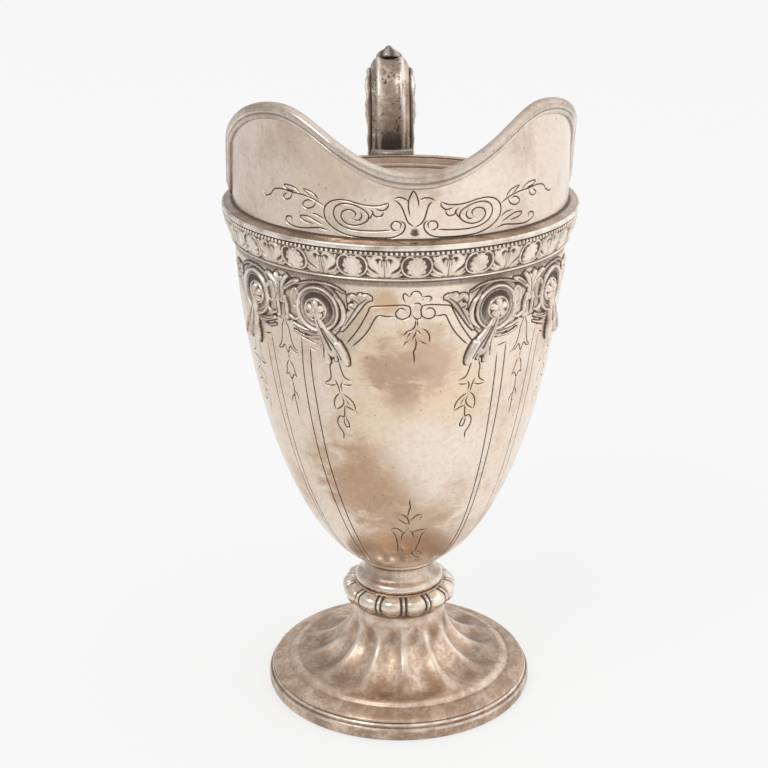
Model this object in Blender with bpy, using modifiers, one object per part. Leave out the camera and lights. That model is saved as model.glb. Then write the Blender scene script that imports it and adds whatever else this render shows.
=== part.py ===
"""Silver milk jug: ovoid bowl on a fluted foot, wavy collar with a spout dip, strap handle behind.

Every piece is built about the jug's own upright axis, the spout toward -Y and the handle
toward +Y, standing on z = 0. At the end the jug is moved along Y so that the middle of its
whole box stands over the origin. Lengths are in metres, written as millimetres times MM.
"""
import math

import bmesh
import bpy
from mathutils import Matrix, Vector

MM = 0.001

# Fits used all over
SOLDER = 0.3 * MM            # seam left between two soldered pieces
SHEET = 1.0 * MM             # wall of the bowl, the collar and the foot
TURN_STEPS = 48              # facets around a turned ring

# Foot
FOOT_RADIUS = 31.5 * MM
BASE_WIRE_HEIGHT = 4.0 * MM
BASE_WIRE_WIDTH = 3.4 * MM
BASE_STEP = 1.0 * MM         # set-back of the upper edge of the base wire
FLUTE_RING_RADIUS = 25.5 * MM
FLUTE_RING_RISE = 2.2 * MM   # height of that ring above the edge of the foot
FOOT_NECK_RADIUS = 10.4 * MM
FOOT_RISE = 16.2 * MM        # height of the foot above the base wire
FLUTES = 13
FLUTE_DEPTH = 1.1 * MM

# Knop and stem
KNOP_RADIUS = 13.4 * MM
KNOP_HEIGHT = 5.8 * MM
KNOP_BORE = 7.6 * MM
EGG_DEPTH = 0.9 * MM
STEM_RADIUS = 10.7 * MM
STEM_WAIST = 8.9 * MM
STEM_HEIGHT = 6.3 * MM
STEM_BORE = 6.6 * MM

# Bowl
BOWL_RADIUS = 36.75 * MM
BOWL_HEIGHT = 77.8 * MM
BOWL_TIP_DROP = 2.5 * MM     # how far the bowl's full curve would run on below its seat
BOWL_FULLNESS = 1.586
BOWL_POINT = 0.43
BOWL_RINGS = 11

# Frieze, ledge, collar and lip
LOWER_WIRE_HEIGHT = 0.7 * MM
LOWER_WIRE_PROUD = 0.5 * MM
FRIEZE_HEIGHT = 4.8 * MM
FRIEZE_FLARE = 2.0 * MM
BEAD_DIAMETER = 0.9 * MM
LEDGE_PROUD = 3.0 * MM       # how far the ledge stands out past the collar
LEDGE_HEIGHT = 1.6 * MM
COLLAR_SET = 0.25 * MM       # how far the collar stands out past the bowl
SPOUT_DIP = 15.7 * MM        # height of the rim above the ledge's foot at the spout
LOBE_RISE = 27.4 * MM        # the same at the two side lobes
BACK_RISE = 1.9 * MM         # the same behind
LOBE_ANGLE = math.radians(47.0)
BACK_ANGLE = math.radians(135.0)
DROP_ANGLE = math.radians(84.0)      # from here the rim falls steeply
DROP_SPAN = math.radians(10.0)
SPOUT_PULL = 2.0 * MM        # how far the spout is drawn forward at its lip
LIP_HEIGHT = 3.3 * MM
LIP_PROUD = 1.5 * MM
LIP_BACK_HEIGHT = 0.9 * MM
LIP_FADE = 2.4 * MM          # the lip thins to its back height over this much of the rim's fall
COLLAR_STEPS = 180

# Castings on the bowl
PANELS = 4
CASTING_TURN = math.radians(-2.5)    # the castings sit a little round from the spout line
ROUNDEL_ANGLE = math.radians(29.4)   # from the middle of a wide panel
ROUNDEL_RADIUS = 5.2 * MM
ROUNDEL_THICKNESS = 1.1 * MM
ROUNDEL_FLOOR = 0.5 * MM
ROUNDEL_DROP = 6.4 * MM      # roundel centre below the bowl's upper edge
HUSK_LENGTH = 13.2 * MM
HUSK_WIDTH = 5.6 * MM
HUSK_RISE = 2.0 * MM
HUSK_LEAN = math.radians(12.3)
BOSS_RADIUS = 1.9 * MM
SPRAY_ANGLE = math.radians(17.7)     # from the middle of a wide panel
SPRAY_LENGTH = 5.6 * MM
SPRAY_HEIGHT = 8.4 * MM
SPRAY_THICKNESS = 1.0 * MM
PALMETTE_WIDTH = 8.2 * MM
PALMETTE_HEIGHT = 10.4 * MM
PALMETTE_THICKNESS = 1.2 * MM
TRIM_CLEARANCE = 0.55 * MM   # room in the plane between two castings side by side

# Handle
HANDLE_TURN = math.radians(-2.2)     # the handle sits a little off the spout line
STRAP_WIDTH = 9.4 * MM
STRAP_THICKNESS = 3.2 * MM
CREST_OUT = 9.4 * MM         # crest of the handle out from the strap's end at the rim
CREST_RISE = 19.5 * MM       # crest of the strap's middle above the ledge
HANDLE_REACH = 22.9 * MM     # farthest middle of the strap out from its end at the rim
HANDLE_SWELL_DROP = 6.0 * MM # that farthest point below the ledge
STRAP_FOOT_DROP = 7.0 * MM   # lower end of the strap at the rim below the ledge
JOINT_DROP = 39.5 * MM       # joint on the bowl below the bowl's upper edge
LEAF_PLACES = (0.03, 1.7)    # ends of the leaf on the strap, which runs from 0 at the rim to 3 at the bowl
LEAF_WIDTH = 12.7 * MM
LEAF_THICKNESS = 1.2 * MM
BUD_RADIUS = 3.1 * MM
BUD_HEIGHT = 3.0 * MM
BUD_OUT = 3.5 * MM           # bud out from the crest
PLATE_THICKNESS = 1.4 * MM
RIM_PLATE_WIDTH = 10.4 * MM
RIM_PLATE_HEIGHT = 7.6 * MM
BOWL_PLATE_WIDTH = 11.0 * MM
BOWL_PLATE_HEIGHT = 15.0 * MM

# Heights that follow from the stack
FOOT_Z = BASE_WIRE_HEIGHT + SOLDER
KNOP_Z = FOOT_Z + FOOT_RISE + SOLDER
STEM_Z = KNOP_Z + KNOP_HEIGHT + SOLDER
BOWL_Z = STEM_Z + STEM_HEIGHT + SOLDER
BOWL_TOP = BOWL_Z + BOWL_HEIGHT
WIRE_Z = BOWL_TOP + SOLDER
FRIEZE_Z = WIRE_Z + LOWER_WIRE_HEIGHT + SOLDER
BEAD_Z = FRIEZE_Z + FRIEZE_HEIGHT + SOLDER
LEDGE_Z = BEAD_Z + BEAD_DIAMETER + SOLDER
LEDGE_TOP = LEDGE_Z + LEDGE_HEIGHT

# Radii and reaches that follow from the bowl
COLLAR_RADIUS = BOWL_RADIUS + COLLAR_SET
LEDGE_RADIUS = COLLAR_RADIUS + LEDGE_PROUD


def clear_scene():
    for old in list(bpy.data.objects):
        bpy.data.objects.remove(old, do_unlink=True)


def metal(name, colour, roughness):
    made = bpy.data.materials.new(name)
    made.use_nodes = True
    shader = made.node_tree.nodes["Principled BSDF"]
    shader.inputs["Base Color"].default_value = (*colour, 1.0)
    shader.inputs["Roughness"].default_value = roughness
    shader.inputs["Metallic"].default_value = 1.0
    return made


def place(name, data, colour, roughness, frame=None):
    """Hang a named object under the jug's axis, in its own frame where one is given."""
    made = bpy.data.objects.new(name, data)
    jug.objects.link(made)
    made.parent = axis
    if frame is not None:
        made.matrix_local = frame
    data.materials.append(metal(name + "_metal", colour, roughness))
    return made


def turned(name, outline, colour, roughness, steps=TURN_STEPS, frame=None, ring=True):
    """Turn an outline of (radius, height) pairs; it runs down its outer side."""
    edges = [(i, i + 1) for i in range(len(outline) - 1)]
    if ring:
        edges.append((len(outline) - 1, 0))
    mesh = bpy.data.meshes.new(name)
    mesh.from_pydata([(r, 0.0, z) for r, z in outline], edges, [])
    made = place(name, mesh, colour, roughness, frame)
    screw = made.modifiers.new("Turn", 'SCREW')
    screw.axis = 'Z'
    screw.angle = math.tau
    screw.steps = steps
    screw.render_steps = steps
    screw.use_merge_vertices = True
    screw.merge_threshold = 0.00001
    return made


def lofted(name, sections, colour, roughness, frame=None, ring=False):
    """Skin a body over equal sections; a ring body joins its last section to its first."""
    work = bmesh.new()
    rows = [[work.verts.new(p) for p in section] for section in sections]
    pairs = list(zip(rows, rows[1:]))
    if ring:
        pairs.append((rows[-1], rows[0]))
    else:
        work.faces.new(rows[0])
        work.faces.new(rows[-1])
    for lower, upper in pairs:
        for i in range(len(lower)):
            j = (i + 1) % len(lower)
            work.faces.new((lower[i], lower[j], upper[j], upper[i]))
    bmesh.ops.recalc_face_normals(work, faces=work.faces)
    mesh = bpy.data.meshes.new(name)
    work.to_mesh(mesh)
    work.free()
    return place(name, mesh, colour, roughness, frame)


def sheet(name, columns, colour, roughness, wall):
    """Close a round of columns into an open surface and thicken it inward."""
    work = bmesh.new()
    rows = [[work.verts.new(p) for p in column] for column in columns]
    for k, near in enumerate(rows):
        far = rows[(k + 1) % len(rows)]
        for i in range(len(near) - 1):
            work.faces.new((near[i], far[i], far[i + 1], near[i + 1]))
    mesh = bpy.data.meshes.new(name)
    work.to_mesh(mesh)
    work.free()
    made = place(name, mesh, colour, roughness)
    solid = made.modifiers.new("Sheet", 'SOLIDIFY')
    solid.thickness = wall
    solid.offset = -1.0
    solid.use_even_offset = True
    return made


def plate(name, outline, thickness, colour, roughness, frame):
    """Cut a plate of one thickness from a flat outline; its back lies in the frame's XY plane."""
    curve = bpy.data.curves.new(name, 'CURVE')
    curve.dimensions = '2D'
    curve.fill_mode = 'BOTH'
    curve.extrude = thickness / 2
    line = curve.splines.new('POLY')
    line.points.add(len(outline) - 1)
    for point, (x, y) in zip(line.points, outline):
        point.co = (x, y, 0.0, 1.0)
    line.use_cyclic_u = True
    return place(name, curve, colour, roughness, frame @ Matrix.Translation((0, 0, thickness / 2)))


def round_point(angle, radius, height):
    """Angle runs from the spout toward +X."""
    return Vector((radius * math.sin(angle), -radius * math.cos(angle), height))


def ease(t):
    return (1 - math.cos(math.pi * min(max(t, 0.0), 1.0))) / 2


def bowl_radius(z):
    reach = (z - BOWL_Z + BOWL_TIP_DROP) / (BOWL_HEIGHT + BOWL_TIP_DROP)
    return BOWL_RADIUS * (1 - (1 - min(reach, 1.0)) ** BOWL_FULLNESS) ** BOWL_POINT


def bowl_frame(angle, z, off):
    """Frame on the bowl: X to the right, Y up, Z straight out, lifted off by the given gap."""
    step = 0.2 * MM
    slope = math.atan2(bowl_radius(z + step) - bowl_radius(z - step), 2 * step)
    out = Vector((math.sin(angle) * math.cos(slope), -math.cos(angle) * math.cos(slope), -math.sin(slope)))
    right = Vector((math.cos(angle), math.sin(angle), 0.0))
    up = out.cross(right)
    frame = Matrix((right, up, out)).transposed().to_4x4()
    frame.translation = round_point(angle, bowl_radius(z), z) + out * off
    return frame


clear_scene()
jug = bpy.data.collections.new("milk_jug")
bpy.context.scene.collection.children.link(jug)
axis = bpy.data.objects.new("jug_axis", None)
jug.objects.link(axis)

# Base wire: a moulded ring with a set-back upper edge and a shallow groove in its side
turned("foot_base_wire", [
    (FOOT_RADIUS - BASE_WIRE_WIDTH, BASE_WIRE_HEIGHT),
    (FOOT_RADIUS - BASE_STEP, BASE_WIRE_HEIGHT),
    (FOOT_RADIUS - 0.6 * BASE_STEP, 0.82 * BASE_WIRE_HEIGHT),
    (FOOT_RADIUS - 0.1 * BASE_STEP, 0.66 * BASE_WIRE_HEIGHT),
    (FOOT_RADIUS, 0.4 * BASE_WIRE_HEIGHT),
    (FOOT_RADIUS - 0.2 * BASE_STEP, 0.12 * BASE_WIRE_HEIGHT),
    (FOOT_RADIUS - 0.6 * BASE_STEP, 0.0),
    (FOOT_RADIUS - BASE_WIRE_WIDTH, 0.0),
], (0.46, 0.38, 0.31), 0.34)


# Foot: the flare is a quarter of an ellipse, with flutes that fade out at both ends
def foot_column(angle):
    ridge = abs(math.cos(FLUTES * angle / 2)) ** 1.5
    column = [round_point(angle, FOOT_NECK_RADIUS, FOOT_Z + FOOT_RISE)]
    flare_rows = 7
    for i in range(1, flare_rows + 1):
        turn = i / flare_rows * math.pi / 2
        r = FLUTE_RING_RADIUS - (FLUTE_RING_RADIUS - FOOT_NECK_RADIUS) * math.cos(turn)
        z = FOOT_Z + FOOT_RISE - (FOOT_RISE - FLUTE_RING_RISE) * math.sin(turn)
        cut = FLUTE_DEPTH * (1 - ridge) * math.sin(math.pi * (i / flare_rows) ** 1.3)
        column.append(round_point(angle, r - cut * math.cos(turn), z - cut * math.sin(turn)))
    edge = FOOT_RADIUS - BASE_STEP
    column.append(round_point(angle, (FLUTE_RING_RADIUS + edge) / 2, FOOT_Z + 0.85 * FLUTE_RING_RISE))
    column.append(round_point(angle, edge, FOOT_Z + 0.45 * FLUTE_RING_RISE))
    column.append(round_point(angle, edge, FOOT_Z))
    return column[::-1]


foot_steps = 4 * FLUTES
sheet("foot_shell", [foot_column(math.tau * k / foot_steps) for k in range(foot_steps)],
      (0.42, 0.33, 0.27), 0.36, SHEET)


# Knop: eggs stand between darts, one dart under the spout
def knop_section(angle):
    sink = EGG_DEPTH * abs(math.cos(FLUTES * angle / 2)) ** 4
    swell = KNOP_RADIUS - FOOT_NECK_RADIUS
    outline = [(KNOP_BORE, KNOP_HEIGHT), (STEM_RADIUS, KNOP_HEIGHT)]
    for i in range(1, 6):
        turn = math.pi * i / 6
        r = FOOT_NECK_RADIUS + swell * math.sin(turn) - sink * math.sin(turn) ** 2
        outline.append((r, KNOP_HEIGHT * (1 + math.cos(turn)) / 2))
    outline += [(FOOT_NECK_RADIUS, 0.0), (KNOP_BORE, 0.0)]
    return [round_point(angle, r, KNOP_Z + z) for r, z in outline]


lofted("knop_ring", [knop_section(math.tau * k / foot_steps) for k in range(foot_steps)],
       (0.60, 0.54, 0.47), 0.30, ring=True)

# Stem: a cushion that narrows to a waist, and a fillet under the bowl
turned("stem_cup", [(r, STEM_Z + h * STEM_HEIGHT) for r, h in [
    (STEM_BORE, 1.0),
    (STEM_RADIUS - 0.5 * MM, 1.0),
    (STEM_RADIUS - 0.4 * MM, 0.9),
    (STEM_WAIST, 0.76),
    (STEM_WAIST + 0.2 * MM, 0.62),
    (STEM_RADIUS - 0.8 * MM, 0.4),
    (STEM_RADIUS - 0.1 * MM, 0.16),
    (STEM_RADIUS, 0.0),
    (STEM_BORE, 0.0),
]], (0.55, 0.48, 0.42), 0.30)

# Bowl: up the inside, over the edge and down the outside
bowl_z = [BOWL_Z + BOWL_HEIGHT * (i / BOWL_RINGS) ** 1.6 for i in range(BOWL_RINGS + 1)]
outside = [(bowl_radius(z), z) for z in bowl_z]
inside = [(bowl_radius(z) - SHEET, z) for z in bowl_z[2:]]
turned("bowl", [(0.0, BOWL_Z + 2 * SHEET), (bowl_radius(BOWL_Z + 2 * SHEET) - 2 * SHEET, BOWL_Z + 2 * SHEET)]
       + inside + outside[::-1] + [(0.0, BOWL_Z)], (0.58, 0.50, 0.42), 0.28, ring=False)

# Frieze: wire, flared strip and bead wire, one on another above the bowl's edge
bore = BOWL_RADIUS - SHEET
wire_mid = WIRE_Z + LOWER_WIRE_HEIGHT / 2
turned("frieze_lower_wire", [
    (bore, WIRE_Z + LOWER_WIRE_HEIGHT),
    (BOWL_RADIUS, WIRE_Z + LOWER_WIRE_HEIGHT),
    (BOWL_RADIUS + LOWER_WIRE_PROUD, wire_mid),
    (BOWL_RADIUS, WIRE_Z),
    (bore, WIRE_Z),
], (0.66, 0.60, 0.52), 0.28)
frieze_top_radius = BOWL_RADIUS + FRIEZE_FLARE
turned("frieze_band", [
    (bore, FRIEZE_Z + FRIEZE_HEIGHT),
    (frieze_top_radius, FRIEZE_Z + FRIEZE_HEIGHT),
    (BOWL_RADIUS + 0.35 * FRIEZE_FLARE, FRIEZE_Z + 0.5 * FRIEZE_HEIGHT),
    (BOWL_RADIUS, FRIEZE_Z),
    (bore, FRIEZE_Z),
], (0.50, 0.44, 0.38), 0.36)
bead_out = frieze_top_radius + BEAD_DIAMETER / 4
turned("bead_wire", [
    (bore, BEAD_Z + BEAD_DIAMETER),
    (bead_out - 0.3 * BEAD_DIAMETER, BEAD_Z + BEAD_DIAMETER),
    (bead_out, BEAD_Z + 0.65 * BEAD_DIAMETER),
    (bead_out, BEAD_Z + 0.35 * BEAD_DIAMETER),
    (bead_out - 0.3 * BEAD_DIAMETER, BEAD_Z),
    (bore, BEAD_Z),
], (0.60, 0.54, 0.47), 0.30)

# Ledge: bright rounded edge, then a slope up to the collar
turned("ledge_moulding", [
    (COLLAR_RADIUS + SOLDER, LEDGE_TOP),
    (COLLAR_RADIUS + 0.3 * LEDGE_PROUD, LEDGE_TOP),
    (LEDGE_RADIUS - 0.17 * LEDGE_PROUD, LEDGE_Z + 0.7 * LEDGE_HEIGHT),
    (LEDGE_RADIUS, LEDGE_Z + 0.4 * LEDGE_HEIGHT),
    (LEDGE_RADIUS - 0.13 * LEDGE_PROUD, LEDGE_Z),
    (COLLAR_RADIUS + SOLDER, LEDGE_Z),
], (0.70, 0.63, 0.55), 0.24)


# Collar and lip: the rim dips at the spout, rises to two lobes and drops steeply at the sides
def rim_rise(angle):
    away = abs(math.remainder(angle, math.tau))
    if away < LOBE_ANGLE:
        return SPOUT_DIP + (LOBE_RISE - SPOUT_DIP) * ease(away / LOBE_ANGLE) ** 1.15
    above_back = (LOBE_RISE - BACK_RISE) * (1 - ease((away - LOBE_ANGLE) / (BACK_ANGLE - LOBE_ANGLE)))
    return BACK_RISE + above_back * (1 - ease((away - DROP_ANGLE) / DROP_SPAN))


def lip_height(angle):
    full = ease((rim_rise(angle) - BACK_RISE - LEDGE_HEIGHT) / LIP_FADE)
    return LIP_BACK_HEIGHT + (LIP_HEIGHT - LIP_BACK_HEIGHT) * full


def pull(angle, rise):
    away = abs(math.remainder(angle, math.tau))
    return SPOUT_PULL * (1 - ease(away / LOBE_ANGLE)) * min(rise / SPOUT_DIP, 1.2) ** 2


def collar_column(angle):
    top = rim_rise(angle) - lip_height(angle) - SOLDER
    rows = 3
    rises = [top * i / rows for i in range(rows + 1)]
    return [round_point(angle, COLLAR_RADIUS + pull(angle, rise), LEDGE_Z + rise) for rise in rises]


def lip_section(angle):
    tall = lip_height(angle)
    low = rim_rise(angle) - tall
    inner = COLLAR_RADIUS - SHEET + pull(angle, low)
    proud = LIP_PROUD * (tall - LIP_BACK_HEIGHT) / (LIP_HEIGHT - LIP_BACK_HEIGHT)
    outline = [
        (0.0, 0.9), (0.3 * SHEET, 1.0), (0.8 * SHEET, 1.0), (SHEET + 0.7 * proud, 0.86),
        (SHEET + proud, 0.66), (SHEET + 0.75 * proud, 0.42), (SHEET + 0.5 * proud, 0.36),
        (SHEET + 0.6 * proud, 0.2), (SHEET, 0.0), (0.0, 0.0),
    ]
    return [round_point(angle, inner + r, LEDGE_Z + low + h * tall) for r, h in outline]


collar_angles = [math.tau * k / COLLAR_STEPS for k in range(COLLAR_STEPS)]
sheet("spout_collar", [collar_column(a) for a in collar_angles], (0.64, 0.56, 0.49), 0.27, SHEET)
lofted("lip_wire", [lip_section(a) for a in collar_angles], (0.60, 0.53, 0.47), 0.27, ring=True)


# Castings: each wide panel has a roundel, a husk drop and a leaf spray in either upper corner
def roundel_outline():
    rim = 0.82 * ROUNDEL_RADIUS
    return [
        (0.0, ROUNDEL_FLOOR), (0.46 * ROUNDEL_RADIUS, ROUNDEL_FLOOR),
        (0.54 * ROUNDEL_RADIUS, ROUNDEL_FLOOR + 0.5 * MM), (0.62 * ROUNDEL_RADIUS, ROUNDEL_FLOOR),
        (rim, ROUNDEL_FLOOR + 0.2 * MM), (0.9 * ROUNDEL_RADIUS, ROUNDEL_THICKNESS),
        (ROUNDEL_RADIUS, 0.6 * ROUNDEL_THICKNESS), (ROUNDEL_RADIUS, 0.0), (0.0, 0.0),
    ]


def husk_sections(side):
    """Sections go along the drop: boss, bridge over the roundel, two leaf lobes, tip."""
    along = Vector((-side * math.sin(HUSK_LEAN), -math.cos(HUSK_LEAN), 0.0))
    across = Vector((along.y, -along.x, 0.0))
    seat = ROUNDEL_FLOOR + SOLDER
    over = ROUNDEL_THICKNESS + SOLDER
    bridge_end = ROUNDEL_RADIUS + SOLDER
    drop = HUSK_LENGTH - bridge_end
    half = HUSK_WIDTH / 2
    boss_top = seat + 0.8 * HUSK_RISE
    rows = [
        (-BOSS_RADIUS, 0.3 * BOSS_RADIUS, seat, seat + 0.3 * HUSK_RISE),
        (-0.6 * BOSS_RADIUS, 0.8 * BOSS_RADIUS, seat, boss_top - 0.2 * HUSK_RISE),
        (0.0, BOSS_RADIUS, seat, boss_top),
        (0.8 * BOSS_RADIUS, 0.75 * BOSS_RADIUS, seat, boss_top),
        (1.1 * BOSS_RADIUS, 0.6 * BOSS_RADIUS, over, boss_top + 0.1 * HUSK_RISE),
        (bridge_end, 0.5 * half, over, over + 0.6 * HUSK_RISE),
        (bridge_end + 0.05 * drop, 0.7 * half, 0.0, over + 0.55 * HUSK_RISE),
        (bridge_end + 0.3 * drop, half, 0.0, HUSK_RISE),
        (bridge_end + 0.55 * drop, 0.85 * half, 0.0, 0.85 * HUSK_RISE),
        (bridge_end + 0.8 * drop, 0.9 * half, 0.0, 0.6 * HUSK_RISE),
        (HUSK_LENGTH, 0.6 * half, 0.0, 0.3 * HUSK_RISE),
    ]
    sections = []
    for s, w, back, front in rows:
        middle = (back + front) / 2
        ring = [(-w, back), (w, back), (w, middle), (0.5 * w, front), (-0.5 * w, front), (-w, middle)]
        sections.append([along * s + across * x + Vector((0, 0, z)) for x, z in ring])
    return sections


def spray_outline(side):
    """The edge next to the roundel follows its round; the leaf points to the panel's middle."""
    apart = (ROUNDEL_ANGLE - SPRAY_ANGLE) * BOWL_RADIUS
    round_edge = ROUNDEL_RADIUS + TRIM_CLEARANCE
    points = []
    for i in range(6):
        turn = math.radians(-50 + 90 * i / 5)
        points.append((round_edge * math.cos(turn) - apart, round_edge * math.sin(turn)))
    leaf = [(-0.05, 0.47), (0.2, 0.36), (0.45, 0.4), (0.75, 0.24), (0.5, 0.1), (0.36, -0.08), (0.12, -0.16),
            (-0.02, -0.34)]
    points += [(x * SPRAY_LENGTH, y * SPRAY_HEIGHT) for x, y in leaf]
    return [(-side * x, y) for x, y in points]


def palmette_outline():
    """A fan of five lobes over a narrow foot, mirrored about its middle."""
    half = [(0.0, -0.5), (0.16, -0.42), (0.12, -0.2), (0.34, -0.24), (0.5, -0.04), (0.36, 0.1), (0.46, 0.26),
            (0.27, 0.3), (0.2, 0.45), (0.08, 0.4)]
    points = [(x * PALMETTE_WIDTH, y * PALMETTE_HEIGHT) for x, y in half]
    mirrored = [(-x, y) for x, y in points[:0:-1]]
    return points + [(0.0, 0.5 * PALMETTE_HEIGHT)] + mirrored


trim_z = BOWL_TOP - ROUNDEL_DROP
panel_names = [("front", "left", "right"), ("right", "front", "back"), ("back", "right", "left"),
               ("left", "back", "front")]
for number, (panel, low_side, high_side) in enumerate(panel_names):
    middle = math.tau * number / PANELS + CASTING_TURN
    for side, word in ((-1, low_side), (1, high_side)):
        spot = panel + "_" + word
        seat_frame = bowl_frame(middle + side * ROUNDEL_ANGLE, trim_z, SOLDER)
        turned("roundel_" + spot, roundel_outline(), (0.60, 0.54, 0.47), 0.3, 16, seat_frame, False)
        lofted("husk_drop_" + spot, husk_sections(side), (0.64, 0.57, 0.49), 0.3, seat_frame)
        plate("leaf_spray_" + spot, spray_outline(side), SPRAY_THICKNESS, (0.60, 0.54, 0.47), 0.3,
              bowl_frame(middle + side * SPRAY_ANGLE, trim_z, SOLDER))

palmette_z = BOWL_TOP - SOLDER - PALMETTE_HEIGHT / 2
for number, spot in enumerate(("front_right", "back_right", "back_left", "front_left")):
    turn = math.tau * (number + 0.5) / PANELS + CASTING_TURN
    plate("palmette_" + spot, palmette_outline(), PALMETTE_THICKNESS, (0.60, 0.54, 0.47), 0.3,
          bowl_frame(turn, palmette_z, SOLDER))


# Handle: three curved stretches from the rim over the crest and down to the bowl
def bezier(a, b, c, d, t):
    s = 1 - t
    return a * s ** 3 + b * (3 * s * s * t) + c * (3 * s * t * t) + d * t ** 3


def handle_point(t):
    """Middle of the strap for t from 0 at the rim to 3 at the bowl, in the plane x = 0."""
    part = min(int(t), 2)
    return bezier(*stretches[part], t - part)


def handle_frame(t):
    """Middle point and the direction away from the finger space."""
    step = 0.001
    ahead = handle_point(min(t + step, 3.0)) - handle_point(max(t - step, 0.0))
    outward = Vector((0.0, -ahead.z, ahead.y)).normalized()
    return handle_point(t), outward


turned_back = Matrix.Rotation(HANDLE_TURN, 4, 'Z')
rim_y = max(LEDGE_RADIUS, bead_out) + SOLDER
strap_y = rim_y + PLATE_THICKNESS + SOLDER + STRAP_THICKNESS / 2
joint_z = BOWL_TOP - JOINT_DROP
pad_frame = bowl_frame(math.pi, joint_z, SOLDER)
joint_out = pad_frame.to_3x3().col[2]
start = Vector((0, strap_y, LEDGE_TOP - STRAP_FOOT_DROP))
crest = Vector((0, strap_y + CREST_OUT, LEDGE_TOP + CREST_RISE))
swell = Vector((0, strap_y + HANDLE_REACH, LEDGE_TOP - HANDLE_SWELL_DROP))
finish = pad_frame.translation + joint_out * (PLATE_THICKNESS + SOLDER)
bend = 0.56
over_start = Vector((0, 0, bend * (crest.z - start.z)))
before_crest = Vector((0, bend * (crest.y - start.y), 0))
after_crest = Vector((0, bend * (swell.y - crest.y), 0))
over_swell = Vector((0, 0, bend * (crest.z - swell.z)))
under_swell = Vector((0, 0, bend * (swell.z - finish.z)))
off_bowl = joint_out * (bend * (swell.y - finish.y))
stretches = [
    (start, start + over_start, crest - before_crest, crest),
    (crest, crest + after_crest, swell + over_swell, swell),
    (swell, swell - under_swell, finish + off_bowl, finish),
]


def strap_section(t):
    middle, outward = handle_frame(t)
    w, h = STRAP_WIDTH / 2, STRAP_THICKNESS / 2
    ring = [(w, -0.5 * h), (w, 0.5 * h), (0.8 * w, h), (-0.8 * w, h), (-w, 0.5 * h), (-w, -0.5 * h),
            (-0.8 * w, -h), (0.8 * w, -h)]
    return [middle + Vector((x, 0, 0)) + outward * y for x, y in ring]


strap_rows = 33
lofted("handle_strap", [strap_section(3 * i / strap_rows) for i in range(strap_rows + 1)],
       (0.50, 0.44, 0.39), 0.34, turned_back)


def leaf_section(i, rows):
    """The leaf lies under the strap on the finger side, wide at the crest and pointed behind."""
    share = i / rows
    middle, outward = handle_frame(LEAF_PLACES[0] + (LEAF_PLACES[1] - LEAF_PLACES[0]) * share)
    swell_out = 0.78 + 0.22 * math.sin(math.pi * min(share / 0.55, 1.0))
    tip = 1.0 if share < 0.7 else 1.0 - 0.75 * ((share - 0.7) / 0.3) ** 2
    w = LEAF_WIDTH / 2 * swell_out * tip * (1.0 if i % 2 else 0.93)
    near = -STRAP_THICKNESS / 2 - SOLDER
    far = near - LEAF_THICKNESS
    ring = [(w, near), (-w, near), (-w, near - 0.5 * LEAF_THICKNESS), (-0.6 * w, far), (0.6 * w, far),
            (w, near - 0.5 * LEAF_THICKNESS)]
    return [middle + Vector((x, 0, 0)) + outward * y for x, y in ring]


leaf_rows = 20
lofted("handle_leaf", [leaf_section(i, leaf_rows) for i in range(leaf_rows + 1)],
       (0.46, 0.41, 0.37), 0.36, turned_back)

# Bud on the crest, standing square to the strap
bud_at = min((abs(handle_point(1 + 0.02 * i).y - crest.y - BUD_OUT), 1 + 0.02 * i) for i in range(50))[1]
bud_middle, bud_up = handle_frame(bud_at)
bud_right = Vector((1, 0, 0))
bud_frame = Matrix((bud_right, bud_up.cross(bud_right), bud_up)).transposed().to_4x4()
bud_frame.translation = bud_middle + bud_up * (STRAP_THICKNESS / 2 + SOLDER)
turned("handle_bud", [(r * BUD_RADIUS, h * BUD_HEIGHT) for r, h in [
    (0.0, 1.0), (0.3, 0.8), (0.62, 0.6), (0.9, 0.36), (1.0, 0.16), (0.86, 0.0), (0.0, 0.0),
]], (0.40, 0.35, 0.31), 0.38, 16, turned_back @ bud_frame, False)

# Plates where the handle meets the rim and the bowl
shield = [(0.5, 0.5), (0.5, -0.1), (0.36, -0.36), (0.0, -0.5), (-0.36, -0.36), (-0.5, -0.1), (-0.5, 0.5)]
rim_frame = Matrix(((-1, 0, 0), (0, 0, 1), (0, 1, 0))).to_4x4()
rim_frame.translation = Vector((0, rim_y, LEDGE_TOP - RIM_PLATE_HEIGHT / 2))
plate("handle_rim_plate", [(x * RIM_PLATE_WIDTH, y * RIM_PLATE_HEIGHT) for x, y in shield],
      PLATE_THICKNESS, (0.50, 0.44, 0.39), 0.34, turned_back @ rim_frame)
oval = [(math.cos(math.tau * k / 16) / 2, math.sin(math.tau * k / 16) / 2) for k in range(16)]
plate("handle_bowl_plate", [(x * BOWL_PLATE_WIDTH, y * BOWL_PLATE_HEIGHT) for x, y in oval],
      PLATE_THICKNESS, (0.50, 0.44, 0.39), 0.34, turned_back @ pad_frame)

# Move the jug so that the middle of its box stands over the origin
bpy.context.view_layer.update()
graph = bpy.context.evaluated_depsgraph_get()
reach = []
for piece in jug.objects:
    if piece is axis:
        continue
    shape = piece.evaluated_get(graph)
    mesh = shape.to_mesh()
    reach += [(shape.matrix_world @ v.co).y for v in mesh.vertices]
    shape.to_mesh_clear()
axis.location.y = -(min(reach) + max(reach)) / 2
bpy.context.view_layer.update()
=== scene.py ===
import math

import bmesh
import bpy
import numpy as np
from mathutils import Matrix, Vector
from mathutils.geometry import delaunay_2d_cdt


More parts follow.
